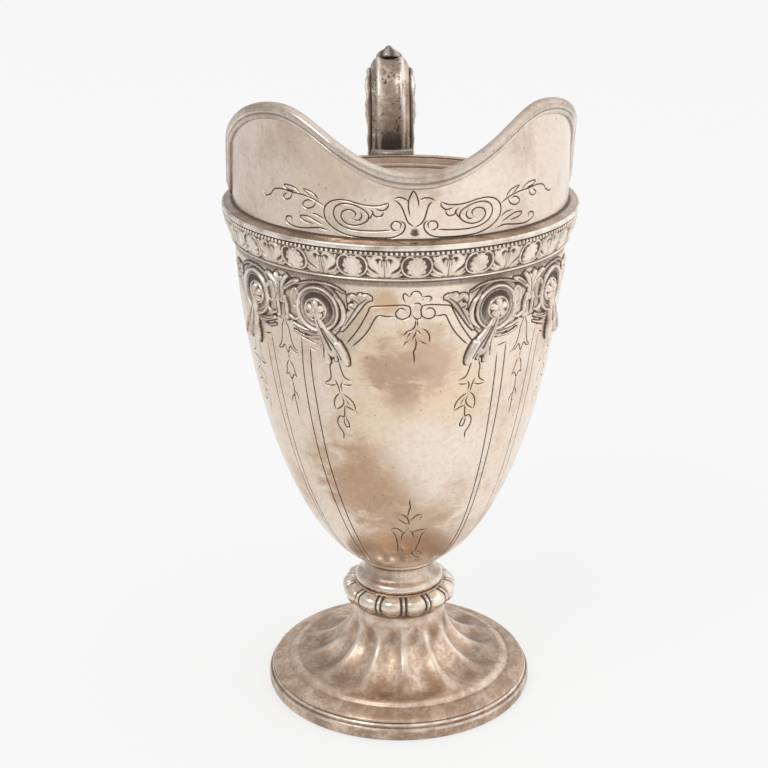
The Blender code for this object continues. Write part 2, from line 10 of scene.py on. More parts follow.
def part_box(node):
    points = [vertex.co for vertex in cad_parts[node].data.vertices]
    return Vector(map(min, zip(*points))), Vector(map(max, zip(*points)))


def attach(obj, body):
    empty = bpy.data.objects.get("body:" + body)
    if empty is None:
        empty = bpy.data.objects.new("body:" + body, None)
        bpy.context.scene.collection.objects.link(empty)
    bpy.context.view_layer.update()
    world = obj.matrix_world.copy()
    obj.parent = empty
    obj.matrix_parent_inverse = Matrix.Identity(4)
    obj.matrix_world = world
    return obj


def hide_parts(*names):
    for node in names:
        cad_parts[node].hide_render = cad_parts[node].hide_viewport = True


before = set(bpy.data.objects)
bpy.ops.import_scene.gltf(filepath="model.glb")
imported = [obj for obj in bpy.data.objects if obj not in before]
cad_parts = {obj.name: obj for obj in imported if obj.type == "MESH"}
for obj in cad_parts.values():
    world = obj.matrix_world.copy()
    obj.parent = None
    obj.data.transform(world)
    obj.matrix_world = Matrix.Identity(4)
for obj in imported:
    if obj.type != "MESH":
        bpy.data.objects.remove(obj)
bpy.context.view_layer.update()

# Studio: a pale table, soft white light from all round and one soft lamp over the left shoulder.
# The jug stands with its spout toward the lens, turned a little to the right.
mm = 0.001
bowl_low, bowl_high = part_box("bowl")
AXIS_Y = (bowl_low[1] + bowl_high[1]) / 2    # the jug's own upright axis lies in the plane x = 0 at this y
BACKDROP = 0.945                             # brightness of room and table as the lens sees them
TABLE_RADIUS, TABLE_GLOW = 4.0, 0.72
LAMP_SIZE, LAMP_POWER, LAMP_PLACE, LAMP_AIM = 0.5, 1.6, Vector((-0.45, -0.45, 0.75)), Vector((0, 0, 0.08))
LENS_LENGTH, SENSOR_WIDTH, LENS_CLIP = 82.03, 36.0, (0.01, 20.0)
LENS_TURN, LENS_TILT = math.radians(-4.6), math.radians(69.33)
LENS_PLACE = Vector((-3.61 * mm, -377.0 * mm, 217.86 * mm))    # from the foot of the axis, before the turn
scene = bpy.context.scene
scene.view_settings.view_transform = 'Standard'


def node(tree, kind, values=None, **settings):
    """Add a shader node; values are set on its sockets, or linked where they are sockets."""
    made = tree.nodes.new(kind)
    for key, value in settings.items():
        setattr(made, key, value)
    for key, value in (values or {}).items():
        if isinstance(value, bpy.types.NodeSocket):
            tree.links.new(value, made.inputs[key])
        else:
            made.inputs[key].default_value = value
    return made


def maths(tree, operation, first, second):
    return node(tree, 'ShaderNodeMath', {0: first, 1: second}, operation=operation).outputs[0]


def times(tree, first, second):
    return maths(tree, 'MULTIPLY', first, second)


def ranged(tree, value, low, high, to_low=0.0, to_high=1.0):
    """Map a value smoothly from one range to another."""
    return node(tree, 'ShaderNodeMapRange', {0: value, 1: low, 2: high, 3: to_low, 4: to_high},
                interpolation_type='SMOOTHSTEP').outputs[0]


def seen_as(tree, others, lens, shown):
    """A strength that is one thing to the lens and another to all other rays."""
    return node(tree, 'ShaderNodeMix', {0: lens, 2: others, 3: shown}, data_type='FLOAT').outputs[0]


world = bpy.data.worlds.new("white_room")
scene.world = world
world.use_nodes = True
tree = world.node_tree
tree.nodes.clear()
way = node(tree, 'ShaderNodeSeparateXYZ', {0: node(tree, 'ShaderNodeTexCoord').outputs["Generated"]}).outputs
across = ranged(tree, way["X"], -0.9, 0.9, 0.66, 1.18)
toward_lens = ranged(tree, way["Y"], -1.0, -0.55, 0.80, 1.0)
above = ranged(tree, way["Z"], 0.1, 0.9, 1.0, 1.08)
behind = ranged(tree, way["Y"], 0.35, 0.95, 1.0, 0.76)
room = times(tree, times(tree, across, toward_lens), times(tree, above, behind))
lens = node(tree, 'ShaderNodeLightPath').outputs["Is Camera Ray"]
glow = node(tree, 'ShaderNodeBackground', {"Color": (1.0, 1.0, 1.0, 1.0),
                                           "Strength": seen_as(tree, room, lens, BACKDROP)})
node(tree, 'ShaderNodeOutputWorld', {"Surface": glow.outputs[0]})

lamp = bpy.data.lights.new("soft_lamp", 'AREA')
lamp.shape = 'DISK'
lamp.size = LAMP_SIZE
lamp.energy = LAMP_POWER
lamp_holder = bpy.data.objects.new("soft_lamp", lamp)
lamp_holder.location = LAMP_PLACE
lamp_holder.rotation_euler = (LAMP_AIM - LAMP_PLACE).to_track_quat('-Z', 'Y').to_euler()
scene.collection.objects.link(lamp_holder)

work = bmesh.new()
bmesh.ops.create_circle(work, cap_ends=True, segments=64, radius=TABLE_RADIUS)
data = bpy.data.meshes.new("table_top")
work.to_mesh(data)
work.free()
table_top = bpy.data.objects.new("table_top", data)
scene.collection.objects.link(table_top)
paint = bpy.data.materials.new("table_white")
paint.use_nodes = True
tree = paint.node_tree
tree.nodes.clear()
path = node(tree, 'ShaderNodeLightPath').outputs
seen = maths(tree, 'MAXIMUM', path["Is Camera Ray"], path["Is Glossy Ray"])
seen = maths(tree, 'MAXIMUM', seen, path["Is Transmission Ray"])
matt = node(tree, 'ShaderNodeBsdfDiffuse', {"Color": (0.93, 0.93, 0.93, 1.0)})
spread = node(tree, 'ShaderNodeSeparateXYZ', {0: node(tree, 'ShaderNodeTexCoord').outputs["Object"]})
mirrored = ranged(tree, spread.outputs["X"], -0.32, 0.16, 0.69, 1.14)
lit = node(tree, 'ShaderNodeEmission', {"Color": (BACKDROP, BACKDROP, BACKDROP, 1.0),
                                        "Strength": seen_as(tree, mirrored, path["Is Camera Ray"], 1.0)})
glowing = times(tree, seen, TABLE_GLOW)
both = node(tree, 'ShaderNodeMixShader', {0: glowing, 1: matt.outputs[0], 2: lit.outputs[0]})
node(tree, 'ShaderNodeOutputMaterial', {"Surface": both.outputs[0]})
data.materials.append(paint)

lens_data = bpy.data.cameras.new("lens")
lens_data.lens, lens_data.sensor_width = LENS_LENGTH, SENSOR_WIDTH
lens_data.clip_start, lens_data.clip_end = LENS_CLIP
camera = bpy.data.objects.new("lens", lens_data)
camera.location = Matrix.Rotation(LENS_TURN, 3, 'Z') @ LENS_PLACE + Vector((0, AXIS_Y, 0))
camera.rotation_euler = (LENS_TILT, 0.0, LENS_TURN)
scene.collection.objects.link(camera)
scene.camera = camera


# Foot rim: the moulded ring the jug stands on. Drawn silver wire, bent round and soldered under
# the edge of the foot: a broad side band, a dark groove and a thin ridge that is rubbed bright.
RIM_TURNS = 192
RIM_BAND_Z, RIM_GROOVE_Z, RIM_RIDGE_Z, RIM_FACE = 2.75, 3.25, 3.8, 30.0
rim_line = [
    (28.2, 4.1), (29.6, 4.15), (30.35, 4.1), (30.78, 3.75), (30.82, 3.45), (30.86, 3.25), (31.12, 3.12),
    (31.42, 2.7), (31.5, 2.1), (31.48, 1.2), (31.3, 0.45), (30.9, 0.05), (30.3, 0.0), (28.4, 0.0),
    (28.2, 0.4), (28.2, 2.0),
]


def flowing(points, each, closed=False):
    """A smooth line through the points, with so many steps from each to the next."""
    p = np.array(points, float)
    if closed:
        p = np.vstack([p[-1], p, p[0], p[1]])
    else:
        p = np.vstack([2 * p[0] - p[1], p, 2 * p[-1] - p[-2]])
    t = np.arange(each)[:, None] / each
    made = []
    for a, b, c, d in zip(p, p[1:], p[2:], p[3:]):
        made.append(b + t * (c - a) / 2 + t ** 2 * (a - 2.5 * b + 2 * c - d / 2)
                    + t ** 3 * (1.5 * (b - c) + (d - a) / 2))
    if not closed:
        made.append(p[-2][None])
    return np.vstack(made)


def turned(line, turns, closed=True):
    """Turn a line of (radius, height) points, in millimetres, about the upright axis."""
    made = bmesh.new()
    dots = [made.verts.new((r * mm, 0.0, z * mm)) for r, z in line]
    bars = [made.edges.new(pair) for pair in zip(dots, dots[1:])]
    if closed:
        bars.append(made.edges.new((dots[-1], dots[0])))
    bmesh.ops.spin(made, geom=dots + bars, cent=(0, 0, 0), axis=(0, 0, 1), angle=math.tau, steps=turns,
                   use_merge=True)
    bmesh.ops.remove_doubles(made, verts=made.verts, dist=1e-7)
    bmesh.ops.delete(made, geom=[bar for bar in made.edges if not bar.link_faces], context='EDGES')
    bmesh.ops.recalc_face_normals(made, faces=made.faces)
    return made


def peak(value, middle, reach, top=1.0):
    """The top value at the middle, falling evenly to nothing on both sides."""
    return max(0.0, top - abs(value - middle) / reach)


def mark_layers(made):
    """Two values on every vertex: its darkening, for dirt in hollows and in places painted shade, and its
    rubbing.
    """
    return made.verts.layers.float.new("hollow"), made.verts.layers.float.new("rubbed")


def marked(made, hollow_at, rubbed_at):
    """Write both values on every vertex from its place in millimetres."""
    hollow, rubbed = mark_layers(made)
    for dot in made.verts:
        p = dot.co / mm
        dot[hollow], dot[rubbed] = hollow_at(p), rubbed_at(p)


def group(name, wanted, given=("Mask",)):
    """Start a shader node group from its inputs with their usual values and the names of its outputs."""
    made = bpy.data.node_groups.new(name, 'ShaderNodeTree')
    for label, value in wanted.items():
        kind = 'NodeSocketVector' if isinstance(value, tuple) else 'NodeSocketFloat'
        made.interface.new_socket(name=label, in_out='INPUT', socket_type=kind).default_value = value
    for label in given:
        made.interface.new_socket(name=label, in_out='OUTPUT', socket_type='NodeSocketFloat')
    return made, node(made, 'NodeGroupInput').outputs, node(made, 'NodeGroupOutput').inputs


def plus(tree, first, second):
    return maths(tree, 'ADD', first, second)


def less(tree, first, second):
    return maths(tree, 'SUBTRACT', first, second)


def mixed(tree, share, first, second):
    """Mix two colours."""
    return node(tree, 'ShaderNodeMix', {0: share, 6: first, 7: second}, data_type='RGBA').outputs[2]


def spot_of(tree):
    """The point being shaded, in the jug's own coordinates."""
    return node(tree, 'ShaderNodeTexCoord').outputs["Object"]


def noise(tree, spot, scale, detail, rough=0.5, warp=0.0, seed=None):
    """Soft noise at a point; a seed gives another pattern of the same kind."""
    values = {"Vector": spot, "Scale": scale, "Detail": detail, "Roughness": rough, "Distortion": warp}
    if seed is None:
        return node(tree, 'ShaderNodeTexNoise', values).outputs[0]
    return node(tree, 'ShaderNodeTexNoise', {"W": seed, **values}, noise_dimensions='4D').outputs[0]


# Tarnish clouds: soft patches of a given size, broken up by finer mottling
tarnish_cloud, gets, gives = group("tarnish_cloud", {"Size": 0.02, "Cover": 0.5, "Seed": 0.0},
                                   ("Mask", "Mottle"))
tree = tarnish_cloud
here = spot_of(tree)
cloud = noise(tree, here, maths(tree, 'DIVIDE', 1.0, gets["Size"]), 6.0, 0.62, 0.4, gets["Seed"])
fine = noise(tree, here, 900.0, 4.0, 0.7, 0.0, gets["Seed"])
edge = less(tree, 0.72, times(tree, gets["Cover"], 0.44))
ragged = plus(tree, cloud, times(tree, less(tree, fine, 0.5), 0.22))
tree.links.new(ranged(tree, ragged, less(tree, edge, 0.11), plus(tree, edge, 0.11)), gives["Mask"])
tree.links.new(ranged(tree, fine, 0.3, 0.7), gives["Mottle"])

# Dirt in hollows, and in places painted shade: black-brown sulphide where the polishing cloth does not reach
hollow_dirt_and_shade, gets, gives = group("hollow_dirt_and_shade", {"Amount": 1.0})
tree = hollow_dirt_and_shade
depth = node(tree, 'ShaderNodeAttribute', attribute_name="hollow").outputs["Fac"]
fine = noise(tree, spot_of(tree), 1300.0, 3.0)
shaken = plus(tree, depth, times(tree, less(tree, fine, 0.5), times(tree, depth, 0.5)))
tree.links.new(times(tree, ranged(tree, shaken, 0.08, 0.8), gets["Amount"]), gives["Mask"])

# Rubbed edges: high ridges that every cleaning brings back to bright metal
rubbed_edge, gets, gives = group("rubbed_edge", {"Amount": 1.0})
tree = rubbed_edge
height = node(tree, 'ShaderNodeAttribute', attribute_name="rubbed").outputs["Fac"]
left_on = ranged(tree, noise(tree, spot_of(tree), 260.0, 5.0), 0.3, 0.62, 0.25, 1.0)
tree.links.new(times(tree, times(tree, height, left_on), gets["Amount"]), gives["Mask"])

# Specks: small dark pits, scattered thinly, where the silver has been eaten through
dark_specks, gets, gives = group("dark_specks", {"Amount": 0.6})
tree = dark_specks
cells = node(tree, 'ShaderNodeTexVoronoi', {"Vector": spot_of(tree), "Scale": 520.0}).outputs
picked = node(tree, 'ShaderNodeSeparateColor', {0: cells["Color"]}).outputs[0]
dotted = times(tree, ranged(tree, cells["Distance"], 0.13, 0.05), ranged(tree, picked, 0.45, 0.6))
tree.links.new(times(tree, dotted, gets["Amount"]), gives["Mask"])

# Cleaning scratches and small dents, as a height for a bump
cleaning_marks, gets, gives = group("cleaning_marks", {"Scratches": 1.0, "Dents": 1.0}, ("Height",))
tree = cleaning_marks
here = spot_of(tree)
hairs = []
for turn, run in ((0.3, (260, 260, 3200)), (-0.5, (2600, 2600, 300)), (1.1, (900, 2400, 1500))):
    tipped = (turn, turn * 0.6, turn)
    laid = node(tree, 'ShaderNodeMapping', {"Vector": here, "Rotation": tipped, "Scale": run})
    hairs.append(ranged(tree, noise(tree, laid.outputs[0], 1.0, 2.0), 0.52, 0.66))
scratched = times(tree, plus(tree, plus(tree, hairs[0], hairs[1]), hairs[2]), gets["Scratches"])
dented = times(tree, times(tree, noise(tree, here, 150.0, 2.0), 6.0), gets["Dents"])
tree.links.new(plus(tree, scratched, dented), gives["Height"])


def tone(red, green, blue):
    """A colour given as it looks on a screen, 0 to 255."""
    return (*[((v / 255 + 0.055) / 1.055) ** 2.4 for v in (red, green, blue)], 1.0)


def used(tree, which, **values):
    """Place a node group with its own values."""
    made = node(tree, 'ShaderNodeGroup', node_tree=which)
    for key, value in values.items():
        made.inputs[key].default_value = value
    return made.outputs


def old_silver(name, pale, brown, gold, dirt_and_shade_tone, size, cover, seed, rough, bump, rub=1.0, dirt_and_shade_amount=1.0, dents=1.0,
               metal=1.0, grain=0.22, stains_and_shade=()):
    """Tarnished silver: pale metal under brown and golden clouds, dark hollows (dirt, in places painted
    shade), rubbed ridges.
    """
    pale, brown, gold, dirt_and_shade_tone, bright = [tone(*colour) for colour in (pale, brown, gold, dirt_and_shade_tone, (246, 238, 228))]
    made = bpy.data.materials.new(name)
    made.use_nodes = True
    tree = made.node_tree
    shader = tree.nodes["Principled BSDF"].inputs
    first = used(tree, tarnish_cloud, Size=size, Cover=cover, Seed=seed)
    second = used(tree, tarnish_cloud, Size=size * 0.45, Cover=cover * 0.8, Seed=seed + 3.7)
    colour = mixed(tree, times(tree, second["Mask"], 0.75), pale, gold)
    colour = mixed(tree, times(tree, first["Mask"], 0.85), colour, brown)
    dull = first["Mask"]
    for mask_in, stained in stains_and_shade:
        mask = mask_in(tree)
        colour = mixed(tree, mask, colour, stained)
        dull = maths(tree, 'MAXIMUM', dull, mask)
    colour = mixed(tree, ranged(tree, first["Mottle"], 0.35, 1.0, 0.0, grain), colour, brown)
    colour = mixed(tree, used(tree, dark_specks, Amount=0.6)["Mask"], colour, dirt_and_shade_tone)
    rubbed = used(tree, rubbed_edge, Amount=rub)["Mask"]
    colour = mixed(tree, rubbed, colour, bright)
    # The hollow value darkens toward the dark tone: dirt in hollows, and on some pieces painted shade.
    dirt_and_shade_mask = used(tree, hollow_dirt_and_shade, Amount=dirt_and_shade_amount)["Mask"]
    tree.links.new(mixed(tree, dirt_and_shade_mask, colour, dirt_and_shade_tone), shader["Base Color"])
    rough_now = less(tree, plus(tree, rough, times(tree, dull, 0.1)), times(tree, rubbed, 0.06))
    tree.links.new(plus(tree, rough_now, times(tree, dirt_and_shade_mask, 0.25)), shader["Roughness"])
    tree.links.new(less(tree, metal, times(tree, dirt_and_shade_mask, 0.6 * metal)), shader["Metallic"])
    marks = used(tree, cleaning_marks, Scratches=1.0, Dents=dents)["Height"]
    bumped = node(tree, 'ShaderNodeBump', {"Strength": bump, "Distance": 0.00002, "Height": marks})
    tree.links.new(bumped.outputs[0], shader["Normal"])
    return made


def fitted(name, made, coats, swaps):
    """Set a finished mesh on the jug's axis and hang it on the frame in place of its solid."""
    bmesh.ops.translate(made, verts=made.verts, vec=(0, AXIS_Y, 0))
    data = bpy.data.meshes.new(name)
    made.to_mesh(data)
    made.free()
    for coat in coats:
        data.materials.append(coat)
    data.shade_smooth()
    piece = bpy.data.objects.new(name, data)
    scene.collection.objects.link(piece)
    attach(piece, "root")
    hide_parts(swaps)
    return piece


foot_metal = old_silver("foot_tarnished_silver", (214, 192, 172), (152, 126, 107), (194, 166, 140),
                        (78, 64, 55), size=0.007, cover=0.55, seed=1.0, rough=0.28, bump=0.2, grain=0.45)
work = turned(flowing(rim_line, 4, closed=True), RIM_TURNS)
marked(work, lambda p: 0.5 * peak(p.z, RIM_GROOVE_Z, 0.28) * (p.xy.length > RIM_FACE),
       lambda p: (peak(p.z, RIM_RIDGE_Z, 0.3) * (p.xy.length > RIM_FACE + 0.2)
                  + 0.8 * peak(p.z, RIM_BAND_Z, 0.35) * (p.xy.length > RIM_FACE)))
fitted("foot_rim_wire", work, [foot_metal], "foot_base_wire")


# Foot: raised from sheet over a stake, then fluted. A flat edge band, a rounded step, and thirteen
# hollow flutes with narrow ribs between them that die away below the neck.
FLUTES = 13
FLUTE_SINK, SHEET_LEFT = 1.05, 0.35
EDGE_BAND, GROOVE_RADIUS, STEP_RADIUS, NECK_Z = (26.0, 27.0), 26.6, 25.5, 18.9
foot_line = [
    (9.7, 21.0), (10.3, 20.9), (10.5, 20.2), (10.7, 19.2), (11.1, 17.6), (11.8, 15.6), (13.0, 13.2),
    (15.1, 10.9), (18.1, 8.9), (21.5, 7.55), (24.0, 6.95), (25.1, 6.85), (25.8, 6.6), (26.15, 6.15),
    (26.6, 5.9), (28.0, 5.6), (29.4, 5.15), (30.2, 4.7), (30.4, 4.3),
]
foot_inside = [(29.4, 4.2), (28.0, 4.5), (25.6, 5.2), (21.4, 6.2), (17.5, 7.6), (14.2, 9.9), (11.9, 12.5),
               (10.6, 15.2), (9.9, 17.8), (9.5, 19.6), (9.3, 21.0)]


def swell(value, low, high):
    """Zero below low, one above high, smooth between."""
    t = min(max((value - low) / (high - low), 0.0), 1.0)
    return t * t * (3 - 2 * t)


def off_line(p, lines, shift=0.0):
    """How far a point lies from the nearest of so many lines round the jug: 0 on one, 1 half way between."""
    turn = math.atan2(p.x, -p.y) * lines / math.tau + shift
    return abs(turn - math.floor(turn + 0.5)) * 2


def outward(p, lean):
    """Way out from the axis at a point, tipped up by an angle."""
    r = p.xy.length
    return Vector((p.x / r * math.cos(lean), p.y / r * math.cos(lean), math.sin(lean)))


def flute_depth(off, r):
    """How far the foot's outside is sunk: 0 on a rib to 1 in the middle of a flute."""
    width = r * math.tau / FLUTES / 2
    rib = 0.5 + 0.9 * swell(r, 15, 24)
    bow = max(0.0, (off * width - rib) / max(width - rib, 0.01))
    bow = math.sin(math.pi / 2 * min(bow, 1.0)) ** 0.8
    top = swell(r - 0.5 * (1 - off) ** 2, 10.85, 11.5) * (0.4 + 0.6 * swell(r, 11, 14))
    foot_end = 1 - swell(r + 2.6 * (1 - off) ** 2, 20.5, 24.6)
    return bow * top * foot_end


work = turned(np.vstack([flowing(foot_line, 4), np.array(foot_inside)]), FLUTES * 26)
hollow, rubbed = mark_layers(work)
under_r, under_z = zip(*foot_inside[::-1])
for dot in work.verts:
    p = dot.co / mm
    r = p.xy.length
    if p.z < np.interp(r, under_r, under_z) + SHEET_LEFT:
        continue
    off = off_line(p, FLUTES)
    deep = flute_depth(off, r)
    dot.co -= outward(p, math.pi / 2 * swell(r, 10, 24)) * (FLUTE_SINK * deep * mm)
    fluted = swell(r, 11.0, 11.7) * (1 - swell(r, 21.5, 24.0))
    rib_top = 0.95 * fluted * peak(off, 0.0, 0.3) * (1 - 0.4 * swell(r, 17, 23))
    step = 0.3 * peak(r, STEP_RADIUS, 1.0) * (p.z > 6)
    dot[rubbed] = max(rib_top, step, 0.5 * peak(p.z, NECK_Z, 1.1) * (r < 12))
    groove = 0.2 * peak(r, GROOVE_RADIUS, 0.7) * (p.z > 5)
    # Painted shade: the edge band is darkened more toward the right, and both flanks toward the left and
    # right edges of the view.
    edge_band_tarnish_and_shade = swell(r, *EDGE_BAND) * (0.16 + 0.16 * swell(p.x / r, -0.6, 0.5))
    under_knop = 0.6 * swell(p.z, 19.9, 20.5)
    flute_top = 0.9 * deep * (1 - swell(r, 11.5, 13.2))
    flank_shade = swell(abs(p.x) / r, 0.25, 0.85) * swell(r, 15, 19) * (1 - swell(r, 24.3, 25.0))
    dot[hollow] = groove + 0.1 * deep + edge_band_tarnish_and_shade + under_knop + flute_top + 0.36 * flank_shade
shell_metal = old_silver("foot_shell_silver", (224, 203, 185), (183, 154, 131), (214, 186, 158),
                         (104, 84, 70), size=0.004, cover=0.5, seed=2.0, rough=0.34, bump=0.2, rub=0.8,
                         grain=0.55)
fitted("foot_fluted_shell", work, [shell_metal], "foot_shell")


# Knop: a cast ring of egg and dart between the foot and the stem. Thirteen plump eggs with a
# narrow dart between each two; a thin line of dirt lies round every egg.
KNOP_LOW, KNOP_TOP, KNOP_BORE = 20.95, 26.45, 7.7
KNOP_MID, KNOP_LEAN = (9.5, 23.7), 1.2       # middle of the swelling, and how far round it the eggs reach
EGG_PITCH = 13.0 * math.pi / FLUTES          # from the middle of an egg to the middle of a dart
EGG_HALF, DART_HALF, KNOP_GROUND = 2.42, 0.44, 0.7
knop_line = [
    (10.0, KNOP_LOW), (10.7, 21.1), (11.9, 21.7), (12.9, 22.6), (13.35, 23.6), (13.4, 24.5), (13.0, 25.4),
    (12.2, 25.95), (11.2, 26.3), (10.4, 26.4), (9.0, KNOP_TOP),
]


def egg_height(off, up):
    """Height of the ornament, and how dark it is there, off an egg's middle line and up it, -1 to 1."""
    wide = EGG_HALF * math.sqrt(max(0.0, 1 - max(0.0, -up) ** 2.6)) * (1 - 0.12 * swell(up, 0.2, 1.0))
    egg = max(0.0, 1 - (off / max(wide, 0.05)) ** 2) ** 0.5 if off < wide else 0.0
    egg *= 1 - swell(abs(up), 0.82, 1.02)
    off_dart = EGG_PITCH - off
    dart = max(0.0, 1 - (off_dart / (DART_HALF + 0.08 * up)) ** 2) * (1 - swell(abs(up), 0.78, 1.0))
    rise = max(0.85 * egg, 0.6 * dart)
    dark = (1 - swell(rise, 0.02, 0.42)) * (1 - swell(abs(up), 0.86, 1.05))
    return rise, dark


work = turned(np.vstack([flowing(knop_line, 5), [(KNOP_BORE, KNOP_TOP), (KNOP_BORE, KNOP_LOW)]]), FLUTES * 34)
hollow, rubbed = mark_layers(work)
for dot in work.verts:
    p = dot.co / mm
    if p.xy.length > 10.0:
        lean = math.atan2(p.z - KNOP_MID[1], p.xy.length - KNOP_MID[0])
        rise, dark = egg_height(off_line(p, FLUTES, 0.5) * EGG_PITCH, lean / KNOP_LEAN)
        band = 1 - swell(abs(lean) / KNOP_LEAN, 0.84, 1.0)
        dot.co += outward(p, lean) * ((rise - KNOP_GROUND) * band * mm)
        dot[hollow] = dark
        dot[rubbed] = 0.75 * swell(rise, 0.2, 0.6)
knop_metal = old_silver("knop_silver", (228, 210, 193), (186, 162, 142), (212, 188, 164), (98, 83, 71),
                        size=0.008, cover=0.42, seed=5.0, rough=0.22, bump=0.1)
fitted("knop_egg_ring", work, [knop_metal], "knop_ring")


# Stem: a turned neck between knop and bowl, spreading from a narrow waist to a thick rounded flange.
# Made as one casting, cleaned up on the lathe and soldered at both ends.
STEM_SEAM_Z, FLANGE_Z, WAIST_Z, STEM_BEAD_Z, STEM_FACE = 26.4, 27.6, 31.4, 32.5, 8.0
stem_line = [
    (6.7, 26.4), (9.5, 26.38), (9.95, 26.42), (10.2, 26.6), (10.38, 26.95), (10.4, 27.35), (10.22, 27.85),
    (9.85, 28.3), (9.35, 28.7), (8.95, 29.1), (8.65, 29.6), (8.45, 30.3), (8.4, 31.0), (8.45, 31.7),
    (8.7, 32.1), (8.95, 32.4), (9.05, 32.9), (8.9, 33.6), (8.6, 33.75), (6.7, 33.75),
]
work = turned(flowing(stem_line, 4), 128)
marked(work, lambda p: (max(peak(p.z, STEM_SEAM_Z, 0.4, 0.5), peak(p.z, WAIST_Z, 1.2, 0.35))
                        * (p.xy.length > STEM_FACE)),
       lambda p: (max(peak(p.z, FLANGE_Z, 1.2, 0.8), peak(p.z, STEM_BEAD_Z, 0.4, 0.7))
                  * (p.xy.length > STEM_FACE)))
stem_metal = old_silver("stem_silver_coat", (218, 200, 184), (164, 141, 122), (198, 175, 154), (92, 77, 66),
                        size=0.008, cover=0.44, seed=6.0, rough=0.2, bump=0.08, dirt_and_shade_amount=0.75)
fitted("stem_turned_cup", work, [stem_metal], "stem_cup")


# Bowl: raised from one sheet, 1 mm thick. The outside is engraved with a graver: framed panels,
# a flower at the top and a lily at the foot of each wide panel, bellflowers hanging between.
BOWL_Z, BOWL_TOP, BOWL_RADIUS, BOWL_SHEET = 33.5, 111.3, 36.75, 1.0
BOWL_FLOOR = BOWL_Z + 2.0
LINE, CUT_DEPTH = 0.47, 0.19                 # width and depth of an engraved line
SIDE_BELL_TURN = math.radians(42.2)
panel_sides = [              # side lines of a wide panel, cut by eye: (degrees from its middle, height)
    [(-40.6, 97.4), (-41.4, 89.3), (-41.4, 82.0), (-41.1, 74.6), (-40.5, 66.9), (-39.3, 58.9), (-37.6, 50.4),
     (-36.4, 44.2), (-35.4, 36.2)],
    [(-37.3, 95.2), (-37.7, 89.7), (-37.4, 82.6), (-37.0, 75.1), (-36.5, 67.4), (-35.1, 59.5), (-33.3, 50.9),
     (-31.8, 44.7), (-30.6, 36.2)],
    [(30.5, 93.4), (30.7, 89.5), (31.0, 82.2), (31.4, 74.7), (31.9, 66.8), (32.4, 58.6), (33.2, 49.8),
     (33.8, 43.3), (34.2, 36.2)],
    [(34.1, 95.7), (34.4, 89.0), (34.7, 81.7), (34.8, 74.2), (34.9, 66.4), (35.3, 58.2), (36.2, 49.4),
     (37.2, 42.6), (37.8, 36.2)],
    [(-40.6, 97.4), (-37.5, 96.9), (-34.6, 96.3)], [(-37.3, 95.2), (-34.6, 94.7)], [(34.1, 95.7),
     (30.0, 95.2)],
]
flower = [
    ([(-1.32, 0.0), (-0.82, 0.9), (0.0, 1.3), (0.82, 0.95), (1.34, -0.1)], 108.3),
    ([(-1.32, 0.0), (-1.83, 0.5), (-2.35, 0.8), (-2.65, 0.4), (-2.58, -0.3), (-2.2, -1.1)], 108.3),
    ([(1.4, -0.02), (2.1, 0.1), (2.8, 0.1), (3.25, -0.35), (2.75, -1.2)], 108.3),
    ([(-0.5, -0.2), (0.22, 0.02), (0.85, -0.22), (1.2, -0.8)], 107.0),
    ([(-0.66, 0.85), (-0.34, 0.25), (0.28, -0.12), (0.9, 0.1), (1.2, 0.7)], 103.6),
]
border_curl = [(2.0, 105.25), (2.5, 105.75), (3.1, 105.85), (3.75, 105.45), (4.05, 104.75), (3.8, 103.9),
               (3.05, 103.5), (2.1, 103.6), (1.28, 104.2), (1.05, 105.2), (1.25, 106.1), (1.85, 106.45),
               (2.9, 106.6), (5.0, 106.4), (7.3, 106.05), (7.95, 105.0), (8.8, 103.25), (9.9, 101.2),
               (11.3, 99.1), (12.6, 97.4)]
border_inner = [(4.0, 104.1), (5.0, 104.05), (6.2, 104.1), (6.9, 102.8), (8.05, 100.6), (9.6, 98.6),
                (11.4, 96.8)]
sprig = [
    [(-0.05, 103.4), (-0.05, 102.5), (-0.3, 101.6), (-0.95, 101.0), (-1.75, 100.7), (-2.55, 99.8)],
    [(0.37, 103.35), (0.39, 101.8)],
    [(-0.65, 100.5), (-1.2, 100.2), (-1.65, 99.55)],
    [(0.1, 100.9), (-0.1, 100.0), (-0.7, 99.0)],
    [(-1.4, 98.65), (-2.1, 98.15), (-2.4, 97.6)],
    [(1.33, 101.3), (2.05, 100.95), (2.7, 100.2), (3.0, 99.2), (2.85, 98.25)],
    [(0.4, 101.0), (1.0, 100.3)],
    [(0.95, 98.6), (1.6, 98.15), (2.45, 97.75)],
    [(-0.08, 99.2), (0.18, 98.2), (0.02, 96.9), (-0.34, 96.1), (-0.2, 95.0), (-0.18, 93.4)],
]
lily = [
    [(0.0, 58.7), (-0.12, 57.7), (0.1, 56.3), (-0.2, 55.0), (-0.35, 53.7)],
    [(-2.05, 54.4), (-1.15, 53.9), (-0.45, 53.1), (0.2, 51.0)],
    [(-2.45, 53.0), (-1.75, 52.2), (-0.8, 51.5), (0.1, 51.3)],
    [(0.4, 52.4), (0.9, 53.1), (1.75, 53.95), (2.85, 54.3)],
    [(3.0, 53.8), (2.3, 52.7)],
    [(-4.0, 49.5), (-3.45, 50.0), (-2.65, 49.95), (-1.85, 49.35), (-1.1, 48.35)],
    [(-0.6, 49.15), (-1.1, 48.3), (-1.4, 47.2), (-1.45, 45.85)],
    [(-3.85, 49.05), (-3.15, 48.25), (-2.6, 46.55), (-2.1, 44.1), (-2.0, 41.9)],
    [(0.0, 49.3), (0.9, 48.4), (1.35, 46.8)],
    [(0.9, 48.4), (1.55, 48.95), (2.7, 49.3), (4.2, 49.4)],
    [(3.9, 48.75), (3.05, 47.4), (2.75, 45.4), (2.3, 43.7), (1.95, 41.9)],
    [(-1.55, 43.9), (-0.95, 41.85)],
    [(3.5, 40.3), (3.05, 41.45), (1.8, 41.9), (1.3, 41.0), (2.15, 39.6), (3.6, 38.8)],
]
